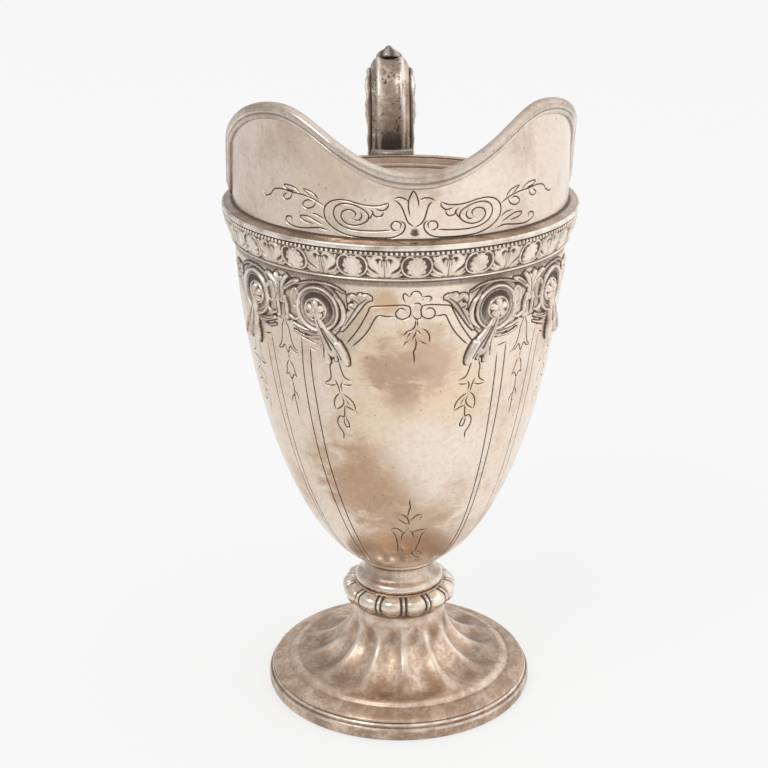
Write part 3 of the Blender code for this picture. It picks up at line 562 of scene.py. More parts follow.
drop_bell = [
    [(-0.6, 93.2), (-1.0, 91.3), (-1.5, 89.7), (-2.25, 89.0), (-3.4, 88.6)],
    [(1.0, 93.0), (1.5, 91.3), (1.4, 89.85), (1.65, 88.45), (3.15, 87.3)],
    [(-3.4, 87.85), (-2.25, 87.55), (-1.1, 87.6)],
    [(0.3, 87.45), (1.65, 86.95), (3.05, 87.15)],
    [(-1.2, 88.25), (-0.7, 87.3), (-0.95, 85.9)],
    [(0.6, 88.75), (0.05, 87.3), (-0.4, 85.4)],
    [(-1.05, 85.3), (-2.4, 84.4), (-3.3, 83.2), (-3.65, 81.55)],
    [(-3.55, 81.3), (-2.4, 81.95), (-1.15, 82.45)],
    [(-1.55, 84.0), (-2.3, 82.8)],
    [(-0.35, 85.4), (0.7, 84.35), (1.25, 82.75), (1.0, 81.2)],
    [(0.9, 81.2), (-0.4, 82.15), (-1.05, 83.3), (-0.75, 84.5)],
    [(-1.15, 82.5), (-1.0, 80.7), (-0.7, 79.6), (0.1, 79.75), (0.75, 79.0), (0.9, 77.8), (0.5, 76.7),
     (-0.2, 75.5), (-0.05, 73.9)],
    [(-0.7, 79.4), (-0.7, 78.2), (-1.15, 77.25), (-1.75, 77.35), (-1.6, 78.6), (-1.0, 79.55)],
]
side_bell = [
    [(-0.1, 100.4), (-1.1, 98.4), (-1.5, 96.0), (-2.2, 94.2), (-3.4, 93.1)],
    [(0.1, 100.4), (1.1, 98.4), (1.5, 96.0), (2.2, 94.2), (3.4, 93.1)],
    [(-3.4, 93.0), (-2.0, 93.3), (-0.9, 94.2), (0.0, 92.6), (0.9, 94.2), (2.0, 93.3), (3.4, 93.0)],
    [(0.0, 92.6), (0.05, 90.9)],
    [(-0.1, 90.8), (-1.0, 89.6), (-1.4, 88.0), (-1.9, 86.9)],
    [(0.1, 90.8), (1.0, 89.6), (1.4, 88.0), (1.9, 86.9)],
    [(-1.9, 86.9), (-0.8, 87.4), (0.0, 86.3), (0.8, 87.4), (1.9, 86.9)],
    [(0.0, 86.3), (0.15, 84.0), (-0.1, 81.6), (0.1, 79.3), (0.0, 77.2)],
    [(0.1, 83.6), (1.0, 82.6), (1.1, 81.3)], [(0.0, 82.6), (-1.0, 81.6), (-1.2, 80.3)],
]


def bowl_radius(z):
    """Outside radius of the bowl at a height, in millimetres."""
    reach = np.clip((np.asarray(z, float) - BOWL_Z + 2.5) / (BOWL_TOP - BOWL_Z + 2.5), 0.0, 1.0)
    return BOWL_RADIUS * (1 - (1 - reach) ** 1.586) ** 0.43


def placed(r, turn, z):
    """A point from its radius, its angle from the spout line and its height, in millimetres."""
    return Vector((r * math.sin(turn), -r * math.cos(turn), z)) * mm


def cut_sides(turn, z, width, radius_at):
    """Left side, bottom and right side of one engraved line, and its half width along the way."""
    r = radius_at(turn, z)
    along = np.stack([np.gradient(turn) * r, np.gradient(z)], 1)
    along /= np.linalg.norm(along, axis=1)[:, None] + 1e-9
    steps = np.hypot(np.diff(turn) * r[1:], np.diff(z))
    gone = np.concatenate([[0.0], np.cumsum(steps)])
    to_end = np.minimum(gone, gone[-1] - gone)
    half = width / 2 * np.clip(0.35 + to_end / 1.3, 0.35, 1.0)
    side = np.stack([-along[:, 1] / r, along[:, 0]], 1) * half[:, None]
    middle = np.stack([turn, z], 1)
    return middle + side, middle, middle - side, half


def engraved(made, cuts, columns, rows, flat, lift, radius_at):
    """Lay a sheet through the plain points, rows by columns, and cut the lines into it as V-shaped grooves.
    Flat lays a point (turn, height) out in a plane and lift takes it back."""
    dots, bars, lines = [], [], []
    for turn, z in cuts:
        left, middle, right, half = cut_sides(turn, z, LINE, radius_at)
        lines.append((middle, half))
        first, count = len(dots), len(middle)
        for run in (left, middle, right):
            bars += [(len(dots) + i, len(dots) + i + 1) for i in range(count - 1)]
            dots += [flat(*q) for q in run]
        for end in (0, count - 1):
            bars += [(first + end, first + count + end), (first + count + end, first + 2 * count + end)]

    def depth_at(turn, z, reach=0.0):
        """Depth of the cuts below a point; with a reach, how near a point lies to a cut instead."""
        found = np.zeros(len(turn))
        r = radius_at(turn, z)
        for middle, half in lines:
            low, high = middle.min(0), middle.max(0)
            pad = half.max() + reach
            near = np.flatnonzero((z > low[1] - pad) & (z < high[1] + pad)
                                  & (turn * r > (low[0] * r - pad)) & (turn * r < (high[0] * r + pad)))
            if not len(near):
                continue
            spot = np.stack([turn[near] * r[near], z[near]], 1)[:, None]
            line = np.stack([middle[:, 0] * r[near][:, None], np.tile(middle[:, 1], (len(near), 1))], 2)
            a, b = line[:, :-1], line[:, 1:]
            t = ((spot - a) * (b - a)).sum(2) / np.maximum(((b - a) ** 2).sum(2), 1e-12)
            t = np.clip(t, 0, 1)
            away = np.linalg.norm(spot - a - (b - a) * t[..., None], axis=2)
            wide = half[None, :-1] * (1 - t) + half[None, 1:] * t
            if reach:
                value = np.maximum(0, 1 - away / (wide + reach)).max(1)
            else:
                value = (np.maximum(0, 1 - away / wide) * wide / half.max()).max(1) * CUT_DEPTH
            found[near] = np.maximum(found[near], value)
        return found

    spots = np.array([[t, row(t)] for t in columns for row in rows])
    edge = np.array([t in (columns[0], columns[-1]) or row in (rows[0], rows[-1])
                     for t in columns for row in rows])
    clear = depth_at(spots[:, 0], spots[:, 1], 0.35) <= 0.0
    dots += [flat(*q) for q in spots[edge | clear]]
    laid, _, faces, *_ = delaunay_2d_cdt([Vector(q) for q in dots], bars, [], 0, 1e-5, False)
    spots = np.array([lift(*q) for q in laid])
    sunk = depth_at(spots[:, 0], spots[:, 1])
    hollow, tag = made.verts.layers.float.new("hollow"), made.faces.layers.int.new("sheet")
    points = []
    for (t, z), r, cut in zip(spots, radius_at(spots[:, 0], spots[:, 1]) - sunk, sunk):
        dot = made.verts.new(placed(r, t, z))
        dot[hollow] = min(1.0, 1.4 * cut / CUT_DEPTH)
        points.append(dot)
    for face in faces:
        if len(set(face)) > 2:
            in_cut = max(sunk[i] for i in face) > 0.1 * CUT_DEPTH
            made.faces.new([points[i] for i in face])[tag] = 2 if in_cut else 1


def sheen(piece, radius_at):
    """Give the plain sheet the exact normals of its curve, and each groove the normals of its own sides."""
    data = piece.data
    count = len(data.loops)
    kinds = np.zeros(len(data.polygons), int)
    data.attributes["sheet"].data.foreach_get("value", kinds)
    corner = np.zeros(count, int)
    data.loops.foreach_get("vertex_index", corner)
    spots = np.zeros(len(data.vertices) * 3)
    data.vertices.foreach_get("co", spots)
    spots = spots.reshape(-1, 3)
    turn = np.arctan2(spots[:, 0], -(spots[:, 1] - AXIS_Y))
    z = spots[:, 2] / mm
    by_turn = (radius_at(turn + 1e-4, z) - radius_at(turn - 1e-4, z)) / 2e-4 / radius_at(turn, z)
    by_height = (radius_at(turn, z + 0.01) - radius_at(turn, z - 0.01)) / 0.02
    out = np.stack([np.sin(turn), -np.cos(turn), 0 * turn], 1)
    aside = np.stack([np.cos(turn), np.sin(turn), 0 * turn], 1)
    normal = out - by_turn[:, None] * aside
    normal[:, 2] -= by_height
    normal /= np.linalg.norm(normal, axis=1)[:, None]
    wanted = np.zeros((count, 3))
    for face in data.polygons:
        run = slice(face.loop_start, face.loop_start + face.loop_total)
        if kinds[face.index] == 1:
            wanted[run] = normal[corner[run]]
        elif kinds[face.index] == 2:
            wanted[run] = face.normal
    data.normals_split_custom_set(wanted.tolist())


def on_bowl_line(points, centre, side=1, each=4):
    """A smooth engraved line from points in millimetres about an upright line on the bowl."""
    run = flowing([(side * x, z) for x, z in points], each)
    return centre + run[:, 0] / bowl_radius(run[:, 1]), run[:, 1]


def spun(made, line, steps, turn):
    """Turn a line of (radius, height) points, in millimetres, once round the axis from an angle."""
    dots = [made.verts.new((r * mm * math.sin(turn), -r * mm * math.cos(turn), z * mm)) for r, z in line]
    bars = [made.edges.new(pair) for pair in zip(dots, dots[1:])]
    bmesh.ops.spin(made, geom=dots + bars, cent=(0, 0, 0), axis=(0, 0, 1), angle=math.tau, steps=steps,
                   use_merge=True)


def inside_out(made, toward):
    """Turn the plain inner faces to look the way they should, and give them the second coat."""
    tag = made.faces.layers.int["sheet"]
    for face in made.faces:
        if not face[tag]:
            face.material_index = 1
            face.normal_update()
            if face.normal.dot(toward(face.calc_center_median())) < 0:
                face.normal_flip()


cuts = [on_bowl_line([(x, base + y) for x, y in points], 0.0) for points, base in flower]
for side, bell_at, spread in ((-1, -27.6, 1.9), (1, 21.4, 0.0)):
    for points in (border_curl, border_inner):
        cuts.append(on_bowl_line([(x + spread * swell(x, 3.5, 7.0), z) for x, z in points], 0.0, side, 3))
    cuts += [on_bowl_line(points, math.radians(bell_at), side) for points in drop_bell]
for points in panel_sides:
    cuts.append(flowing([(math.radians(turn), z) for turn, z in points], 5).T)
cuts += [on_bowl_line(points, 0.0) for points in sprig + lily]
cuts += [on_bowl_line([(0.9 * x, z) for x, z in points], SIDE_BELL_TURN) for points in side_bell]

QUARTER = 60                                 # steps round a quarter of the bowl
SEAM = math.radians(47.75)                   # where one quarter meets the next, clear of every cut
columns = np.linspace(SEAM - math.pi / 2, SEAM, QUARTER + 1)
levels = [float(z) for z in BOWL_Z + (BOWL_TOP - 2.0 - BOWL_Z) * np.linspace(0, 1, 60) ** 1.25]
levels += [BOWL_TOP - below for below in (1.5, 1.1, 0.8, 0.5, 0.2, -0.15)]
work = bmesh.new()
engraved(work, cuts, columns, [lambda t, z=z: z for z in levels], lambda t, z: (t * BOWL_RADIUS, z),
         lambda x, y: (x / BOWL_RADIUS, y), lambda t, z: bowl_radius(z))
hollow = work.verts.layers.float["hollow"]
# Painted shadow: a dark band round the top of the bowl, just under the lower wire.
for dot in work.verts:
    dot[hollow] = max(dot[hollow], 0.5 * swell(dot.co.z / mm, BOWL_TOP - 1.2, BOWL_TOP - 0.6))
bmesh.ops.spin(work, geom=work.verts[:] + work.edges[:] + work.faces[:], cent=(0, 0, 0), axis=(0, 0, 1),
               angle=1.5 * math.pi, steps=3, use_duplicate=True)
bmesh.ops.remove_doubles(work, verts=work.verts, dist=2e-6)
inside = [(0.0, BOWL_FLOOR)]
for z in BOWL_FLOOR + (BOWL_TOP - BOWL_Z - 1.85) * np.linspace(0, 1, 40) ** 1.3:
    rounding = 1.2 * math.exp(-(z - BOWL_Z - 2) / 1.5)
    inside.append((float(bowl_radius(z)) - BOWL_SHEET - rounding, float(z)))
spun(work, inside, 4 * QUARTER, SEAM)
bmesh.ops.remove_doubles(work, verts=work.verts, dist=2e-6)
bmesh.ops.bridge_loops(work, edges=[bar for bar in work.edges if bar.is_boundary
                                    and bar.verts[0].co.z > (BOWL_TOP - 1) * mm])
bmesh.ops.holes_fill(work, edges=[bar for bar in work.edges if bar.is_boundary], sides=0)
inside_out(work, lambda p: Vector((-p.x, -p.y, 0.02)) if p.z > (BOWL_Z + 1) * mm else Vector((0, 0, -1)))

# Stain: one patch of tarnish at a known place, drawn out sideways by the polishing, with a ragged edge.
# A few of the same patches are painted shadow instead of tarnish.
stain_and_shade_spot, gets, gives = group("stain_and_shade_spot", {"Place": (0, 0, 0), "Reach": 0.01, "Amount": 0.8})
tree = stain_and_shade_spot
here = spot_of(tree)
away = node(tree, 'ShaderNodeVectorMath', {0: here, 1: gets["Place"]}, operation='DISTANCE').outputs["Value"]
laid = node(tree, 'ShaderNodeMapping', {"Vector": here, "Scale": (170.0, 170.0, 260.0)}).outputs[0]
wander = times(tree, less(tree, noise(tree, laid, 1.0, 8.0, 0.72, 0.5), 0.5), 2.2)
share = plus(tree, maths(tree, 'DIVIDE', away, gets["Reach"]), wander)
tree.links.new(times(tree, ranged(tree, share, 1.1, 0.4), gets["Amount"]), gives["Mask"])


def stain_and_shade_at(place, reach, amount, colour):
    """A patch at a place in metres, with its reach in millimetres: mostly a stain, in a few places painted
    shadow.
    """
    def mask_in(tree):
        return used(tree, stain_and_shade_spot, Place=place, Reach=reach * mm, Amount=amount)["Mask"]
    return mask_in, tone(*colour)


def stain_and_shade(turn, z, reach, amount, colour, radius=None):
    """A patch at an angle from the spout, in degrees, and a height, on the bowl or at another radius: mostly
    a stain, in a few places painted shadow.
    """
    angle = math.radians(turn)
    r = radius or float(bowl_radius(z))
    place = (r * math.sin(angle) * mm, -r * math.cos(angle) * mm + AXIS_Y, z * mm)
    return stain_and_shade_at(place, reach, amount, colour)


brown_stain, gold_stain = (184, 152, 128), (235, 208, 175)
green_stain, wire_shadow_grey = (150, 168, 150), (160, 142, 126)
bowl_metal = old_silver(
    "bowl_silver_coat", (237, 222, 206), (211, 185, 161), (234, 211, 184), (74, 60, 51),
    size=0.013, cover=0.36, seed=9.0, rough=0.22, bump=0.1, grain=0.3, stains_and_shade=[
        stain_and_shade(-5, 90, 17, 0.6, gold_stain), stain_and_shade(14, 84, 12, 0.5, gold_stain),
        stain_and_shade(-8, 74, 15, 0.55, (238, 218, 194)), stain_and_shade(-7, 92, 8, 0.85, brown_stain),
        stain_and_shade(4, 94, 9, 0.7, (196, 166, 146)), stain_and_shade(-4, 86, 6, 0.5, brown_stain),
        stain_and_shade(-21, 62, 14, 0.85, (184, 148, 119)), stain_and_shade(-2, 50, 13, 0.6, (186, 156, 128)),
        stain_and_shade(20, 44, 12, 0.6, (184, 154, 128)), stain_and_shade(10, 70, 13, 0.65, (242, 231, 219)),
        stain_and_shade(-22, 98, 3.2, 0.4, green_stain), stain_and_shade(-36, 107, 4, 0.35, green_stain),
        stain_and_shade(-9.5, 107.5, 3.4, 0.7, (208, 172, 124)),
        # Painted shadow: two grey patches just under the lower wire.
        stain_and_shade(24, 110, 6, 0.6, wire_shadow_grey), stain_and_shade(-30, 110, 6, 0.6, wire_shadow_grey)])
bowl_inside = old_silver("bowl_inside_dull", (230, 210, 192), (196, 172, 152), (216, 194, 172), (74, 60, 51),
                         size=0.018, cover=0.6, seed=11.0, rough=0.36, bump=0.12, metal=0.1)
bowl = fitted("bowl_raised_sheet", work, [bowl_metal, bowl_inside], "bowl")
sheen(bowl, lambda t, z: bowl_radius(z))


# Lower wire: a drawn half-round wire that covers the seam between bowl and frieze.
# Rubbed bright along its top, dark where it meets the bowl.
FRIEZE_LOW, FRIEZE_HIGH = 112.5, 117.8
WIRE_CREST_Z, WIRE_FACE = 112.25, (36.4, 37.2)
wire_line = [
    (35.8, FRIEZE_LOW), (37.1, FRIEZE_LOW), (37.42, 112.42), (37.6, 112.22), (37.46, 112.0), (37.05, 111.82),
    (36.78, 111.6), (36.75, 111.42), (35.8, 111.35),
]
work = turned(flowing(wire_line, 3, closed=True), 288)
marked(work, lambda p: (0.6 * (1 - swell(p.z, 111.75, 112.05))
                        + 0.6 * peak(p.z, FRIEZE_LOW, 0.12)) * (p.xy.length > WIRE_FACE[0]),
       lambda p: 0.9 * peak(p.z, WIRE_CREST_Z, 0.3) * (p.xy.length > WIRE_FACE[1]))
wire_metal = old_silver("wire_silver", (234, 218, 202), (190, 168, 150), (216, 194, 172), (86, 73, 63),
                        size=0.009, cover=0.35, seed=12.0, rough=0.2, bump=0.06)
fitted("frieze_wire_below", work, [wire_metal], "frieze_lower_wire")


# Frieze: a strip rolled between dies and bent round: ringed palmettes and pairs of leaves by turns.
# The ground is dark with old dirt and the relief is rubbed pale.
REPEATS, REPEAT, STEPS, ROWS = 18, 13.3, 84, 40    # repeats round the strip, their width, and grid of each
PATTERN_TALL, BORDER = 4.45, 0.2                   # height the pattern is drawn at, and its plain borders
FRIEZE_RADIUS, FRIEZE_FLARE, FRIEZE_GROUND = 37.2, 1.85, 0.25
FRIEZE_BORE, BORE_FLARE = 35.8, 0.2


def relief_from(strokes, x, y):
    """Height of rolled relief: rounded ridges along lines of (x, y, half width, height)."""
    rise = np.zeros_like(x)
    for points in strokes:
        run = flowing(points, 5)
        a, b = run[:-1], run[1:]
        for p, q in zip(a, b):
            d = q[:2] - p[:2]
            t = np.clip(((x - p[0]) * d[0] + (y - p[1]) * d[1]) / max(d @ d, 1e-9), 0, 1)
            wide = p[2] + (q[2] - p[2]) * t
            tall = p[3] + (q[3] - p[3]) * t
            away = np.hypot(x - p[0] - d[0] * t, y - p[1] - d[1] * t) / wide
            rise = np.maximum(rise, tall * np.sqrt(np.maximum(0, 1 - away ** 2)))
    return rise


def softened(field, reach, edge='edge'):
    """Spread a grid of heights by so many cells each way, to tell hollows from ridges."""
    for axis in (0, 1, 0, 1):
        pad = [(reach, reach) if axis == k else (0, 0) for k in (0, 1)]
        wide = np.pad(field, pad, mode=edge if axis == 0 else 'edge')
        total = np.cumsum(np.insert(wide, 0, 0.0, axis=axis), axis=axis)
        size = 2 * reach + 1
        field = (np.take(total, np.arange(size, total.shape[axis]), axis=axis)
                 - np.take(total, np.arange(total.shape[axis] - size), axis=axis)) / size
    return field


ring_half = [
    [(0.15, 0.24, 0.22, 0.44), (1.3, 0.34, 0.2, 0.48), (2.5, 0.95, 0.2, 0.5), (3.1, 2.15, 0.2, 0.52),
     (2.8, 3.4, 0.2, 0.5), (1.95, 4.1, 0.2, 0.48), (1.05, 4.2, 0.18, 0.44), (0.62, 3.85, 0.16, 0.38)],
    [(0.0, 0.9, 0.9, 0.46), (0.0, 1.8, 1.75, 0.58), (0.0, 2.4, 1.7, 0.6), (0.0, 3.1, 1.1, 0.56),
     (0.0, 3.7, 0.55, 0.46)],
    [(1.4, 1.2, 0.5, 0.5), (1.5, 1.25, 0.5, 0.5)], [(1.65, 2.15, 0.45, 0.5), (1.72, 2.25, 0.45, 0.5)],
    [(1.25, 3.0, 0.48, 0.5), (1.32, 3.05, 0.48, 0.5)], [(0.6, 3.5, 0.42, 0.48), (0.66, 3.55, 0.42, 0.48)],
]
leaf_half = [
    [(0.3, 0.3, 0.22, 0.38), (0.26, 1.2, 0.2, 0.42), (0.22, 2.4, 0.18, 0.42), (0.2, 3.3, 0.14, 0.36)],
    [(0.62, 0.35, 0.28, 0.4), (0.95, 1.1, 0.48, 0.5), (1.5, 1.9, 0.7, 0.58), (2.15, 2.6, 0.95, 0.6),
     (2.45, 3.15, 0.9, 0.58), (2.15, 3.75, 0.5, 0.52), (1.45, 4.1, 0.34, 0.48), (0.75, 4.1, 0.32, 0.46),
     (0.42, 3.75, 0.24, 0.42)],
    [(1.0, 0.45, 0.26, 0.42), (1.9, 0.75, 0.34, 0.5), (2.8, 1.15, 0.34, 0.48), (3.3, 1.7, 0.22, 0.4)],
    [(1.5, 0.22, 0.24, 0.38), (2.6, 0.4, 0.33, 0.45), (3.5, 0.8, 0.27, 0.4)],
    [(2.85, 3.4, 0.42, 0.48), (3.3, 3.95, 0.3, 0.42)],
    [(0.5, 0.9, 0.28, 0.4), (0.8, 1.9, 0.4, 0.46), (0.9, 2.8, 0.4, 0.46), (0.75, 3.3, 0.26, 0.42)],
]
ring_vein = [[(0.55, 3.1, 0.09, 1.0), (0.4, 2.3, 0.09, 1.0), (0.35, 1.3, 0.08, 1.0)]]
leaf_vein = [[(1.15, 1.9, 0.08, 1.0), (1.9, 2.7, 0.09, 1.0), (1.9, 3.4, 0.08, 1.0)]]


def both_ways(half, centre=0.0):
    """Half a drawing and its mirror image, about an upright line."""
    return [[(centre + side * x, *rest) for x, *rest in points] for points in half for side in (-1, 1)]


def only(kind, geom):
    """Those of the elements an operator made that are of one kind."""
    return [item for item in geom if isinstance(item, kind)]


x = (np.arange(STEPS) / STEPS - 0.5) * REPEAT
gx, gy = np.meshgrid(x, np.linspace(0.0, PATTERN_TALL, ROWS), indexing='ij')
strokes, veins = both_ways(ring_half), both_ways(ring_vein)
for centre in (-REPEAT / 2, REPEAT / 2):
    strokes += both_ways(leaf_half, centre)
    veins += both_ways(leaf_vein, centre)
rise = relief_from(strokes, gx, gy)
rise = rise - 0.06 * relief_from(veins, gx, gy) * (rise > 0.25)
to_border = np.minimum(gy, PATTERN_TALL - gy)
rise = np.maximum(rise, 0.34 * np.clip(1 - to_border / BORDER, 0, 1))
cavity = softened(rise, 3, 'wrap') - rise
shares = [j / (ROWS - 1) for j in range(ROWS)]
work = turned([(FRIEZE_RADIUS + FRIEZE_FLARE * share ** 0.8, FRIEZE_LOW + (FRIEZE_HIGH - FRIEZE_LOW) * share)
               for share in shares], REPEATS * STEPS, closed=False)
hollow, rubbed = mark_layers(work)
for dot in work.verts:
    p = dot.co / mm
    turn = math.atan2(p.x, -p.y) / math.tau * REPEATS + 0.5
    i = int(round((turn - math.floor(turn)) * STEPS)) % STEPS
    j = min(int(round((p.z - FRIEZE_LOW) / (FRIEZE_HIGH - FRIEZE_LOW) * (ROWS - 1))), ROWS - 1)
    up, deep = float(rise[i, j]), float(cavity[i, j])
    dot.co += Vector((p.x, p.y, 0)).normalized() * ((up - FRIEZE_GROUND) * mm)
    dot[hollow] = 0.7 * max(1 - swell(up, 0.08, 0.34), swell(deep, 0.05, 0.22))
    dot[rubbed] = 0.7 * swell(up, 0.34, 0.52) * (1 - swell(deep, -0.02, 0.06))
ring = bmesh.ops.extrude_edge_only(work, edges=[bar for bar in work.edges if bar.is_boundary])["geom"]
for dot in only(bmesh.types.BMVert, ring):
    at_top = dot.co.z / mm > (FRIEZE_LOW + FRIEZE_HIGH) / 2
    out = Vector((dot.co.x, dot.co.y, 0)).normalized()
    dot.co = out * (FRIEZE_BORE + BORE_FLARE * at_top) * mm + Vector((0, 0, dot.co.z))
    dot[hollow], dot[rubbed] = 0.5 - 0.3 * at_top, 0.0
for face in bmesh.ops.bridge_loops(work, edges=only(bmesh.types.BMEdge, ring))["faces"]:
    face.material_index = 1
bmesh.ops.recalc_face_normals(work, faces=work.faces)
frieze_metal = old_silver("frieze_silver_coat", (232, 217, 202), (192, 170, 152), (216, 194, 172),
                          (88, 74, 63), size=0.008, cover=0.35, seed=14.0, rough=0.24, bump=0.06)
fitted("frieze_rolled_strip", work, [frieze_metal, bowl_inside], "frieze_band")


# Bead wire: a swaged wire of small round beads, soldered on above the strip. Its seat is dark with
# dirt and the fronts of the beads are rubbed bright.
BEADS, BEAD_SIZE, BEAD_RING, BEAD_Z = 234, 0.42, 38.92, 118.2
INNER_WALL = 36.0
bead_seat = [
    (INNER_WALL, 118.9), (37.05, 118.9), (37.1, 118.72), (38.75, 118.72), (38.88, 118.45), (38.88, 117.95),
    (38.75, 117.82), (INNER_WALL, 117.82),
]
work = turned(bead_seat, 216)
hollow, rubbed = mark_layers(work)
seat = set(work.verts)
for k in range(BEADS):
    turn = math.tau * k / BEADS
    spot = Matrix.Translation(placed(BEAD_RING, turn, BEAD_Z))
    bmesh.ops.create_uvsphere(work, u_segments=8, v_segments=5, radius=BEAD_SIZE * mm,
                              matrix=spot @ Matrix.Rotation(turn, 4, 'Z'))
for dot in work.verts:
    r = dot.co.xy.length / mm
    if dot in seat:
        dot[hollow] = 0.15 + 0.55 * (r > 38)
    else:
        dot[hollow] = 0.7 - 0.7 * swell(r, BEAD_RING - 0.05, BEAD_RING + 0.2)
        dot[rubbed] = 0.7 * swell(r, BEAD_RING + 0.05, BEAD_RING + 0.35)
for face in work.faces:
    face.material_index = int(max(dot.co.xy.length for dot in face.verts) < (INNER_WALL + 0.2) * mm)
bead_metal = old_silver("bead_silver", (230, 214, 198), (180, 158, 140), (208, 186, 164), (104, 89, 77),
                        size=0.006, cover=0.35, seed=15.0, rough=0.2, bump=0.0)
fitted("bead_wire_row", work, [bead_metal, bowl_inside], "bead_wire")


# Ledge: a moulded strip that stands out above the beads, with a plump bright edge and a slope
# up to the foot of the collar, where a dark line of dirt has gathered.
LEDGE_SLOPE_Z, LEDGE_GROOVE = 119.8, 38.88
ledge_line = [
    (37.0, 120.75), (37.45, 120.5), (38.2, 120.3), (38.7, 120.12), (38.95, 120.0), (39.22, 119.95),
    (39.42, 119.75), (39.48, 119.4), (39.44, 119.1), (39.3, 118.88), (39.05, 118.78), (38.3, 118.75),
    (37.15, 118.75), (37.05, 119.3),
]
work = turned(flowing(ledge_line, 4, closed=True), 288)
marked(work, lambda p: (0.75 * (1 - swell(p.xy.length, 37.25, 38.0))
                        + 0.3 * peak(p.xy.length, LEDGE_GROOVE, 0.35)) * (p.z > LEDGE_SLOPE_Z),
       lambda p: swell(p.xy.length, 38.95, 39.3))
ledge_metal = old_silver("ledge_silver", (202, 181, 163), (148, 126, 107), (174, 150, 129), (86, 71, 60),
                         size=0.011, cover=0.45, seed=16.0, rough=0.2, bump=0.08)
fitted("ledge_moulded_strip", work, [ledge_metal], "ledge_moulding")


# Collar: a strip of sheet bent round, its upper edge cut to a wave: a dip for the spout, two high
# lobes and a low back. Engraved in front with a lily between two scrolls that end in leafy tendrils.
LEDGE_Z, COLLAR_RADIUS, SHEET = 118.9, 37.0, 1.0
SPOUT_DIP, SPOUT_FORWARD, LOBE_RISE, BACK_RISE = 15.7, 2.0, 27.4, 1.9
LOBE_ANGLE, BACK_ANGLE = math.radians(47.0), math.radians(135.0)
DROP_ANGLE, DROP_SPAN = math.radians(84.0), math.radians(10.0)
LIP_TALL, LIP_BACK, LIP_FADE, LEDGE_TALL = 3.3, 0.9, 2.4, 1.6
COLLAR_TURNS, COLLAR_ROWS, INNER_ROWS = 288, 20, 8
FLAT_TALL = 18.0                             # height of the collar while it is laid out flat for the cuts
SCROLL_OFF = -0.45                           # the pair of scrolls sits a little left of the lily
lily_strokes = [
    [(-0.6, 123.3), (-1.8, 124.3), (-2.4, 125.8), (-3.0, 127.4), (-3.8, 128.5), (-4.6, 129.05)],
    [(-4.6, 129.1), (-3.6, 129.6), (-2.65, 129.4), (-1.75, 128.75)],
    [(-1.4, 125.6), (-1.7, 127.2), (-1.7, 128.85), (-1.25, 130.1), (-0.85, 130.9), (-0.35, 130.4),
     (0.15, 129.05), (0.3, 127.6)],
    [(0.35, 128.75), (1.35, 129.4), (2.6, 129.3), (3.6, 128.75)],
    [(3.0, 128.65), (2.3, 127.75), (1.9, 126.3), (1.5, 124.9), (0.7, 123.75), (-0.4, 123.25)],
]
scroll_strokes = [
    [(2.9, 123.0), (2.7, 123.85), (3.3, 124.4), (4.2, 124.3), (4.75, 123.5), (4.25, 122.65), (3.3, 122.55)],
    [(3.0, 124.65), (2.0, 123.95), (2.0, 122.8), (2.9, 121.65), (4.55, 121.0), (7.3, 120.85), (10.7, 120.85),
     (13.9, 121.2), (16.65, 122.3), (18.45, 124.0), (18.75, 126.1), (17.6, 127.65), (15.55, 128.4),
     (13.25, 128.35), (11.0, 127.85), (8.85, 127.6), (6.75, 127.75), (5.2, 128.45)],
    [(4.65, 122.6), (7.25, 122.35), (10.7, 122.25), (13.6, 122.55), (15.8, 123.65), (16.7, 125.35),
     (16.2, 126.85), (14.65, 127.65), (12.6, 127.6), (10.8, 127.0), (9.45, 126.0), (9.35, 124.75),
     (10.45, 123.75), (12.2, 123.25), (14.05, 123.65), (15.05, 124.9), (14.55, 126.1), (13.05, 126.5),
     (11.95, 125.9), (12.2, 124.9)],
    [(10.95, 126.3), (10.65, 125.3), (11.3, 124.4), (12.3, 124.5)],
    [(5.2, 128.45), (5.3, 127.55), (6.15, 126.75), (7.1, 126.8), (7.9, 127.15)],
    [(6.25, 126.65), (6.35, 125.9), (7.1, 125.35), (8.15, 125.6), (8.45, 126.4), (9.0, 126.9)],
    [(8.35, 126.1), (8.9, 125.1), (9.55, 124.65)],
    [(18.65, 126.65), (20.55, 127.6), (22.4, 128.15), (24.4, 128.45), (27.15, 128.6), (29.5, 128.8),
     (31.7, 128.35), (32.8, 127.2), (34.35, 126.55), (35.2, 127.1)],
    [(20.0, 127.7), (20.75, 128.8), (22.1, 129.45), (23.75, 129.8)],
    [(21.6, 128.2), (22.65, 128.85), (23.75, 129.8)],
    [(20.55, 127.4), (21.4, 126.2), (22.9, 125.75), (23.9, 126.55), (22.7, 127.5), (21.35, 127.4)],
    [(24.4, 128.6), (25.55, 129.5), (27.1, 129.9), (28.75, 129.8), (27.8, 129.0), (25.85, 128.85)],
    [(26.5, 128.5), (27.05, 127.35), (28.2, 126.8), (29.05, 127.4), (27.8, 128.3)],
    [(17.7, 121.6), (19.95, 122.0), (22.95, 121.55), (25.9, 121.4), (28.15, 122.05), (28.25, 123.1),
     (26.9, 123.35), (26.65, 122.45)],
    [(18.7, 123.8), (20.4, 124.7), (21.85, 124.8)],
    [(19.15, 122.7), (21.2, 123.6), (22.85, 124.1), (24.6, 123.9), (23.75, 123.1), (21.25, 122.65)],
]


def ease(t):
    """Zero to one along a half wave."""
    return (1 - np.cos(np.pi * np.clip(t, 0.0, 1.0))) / 2


def off_spout(turn):
    """Angle away from the spout line, never negative."""
    return np.abs((np.asarray(turn, float) + np.pi) % (2 * np.pi) - np.pi)


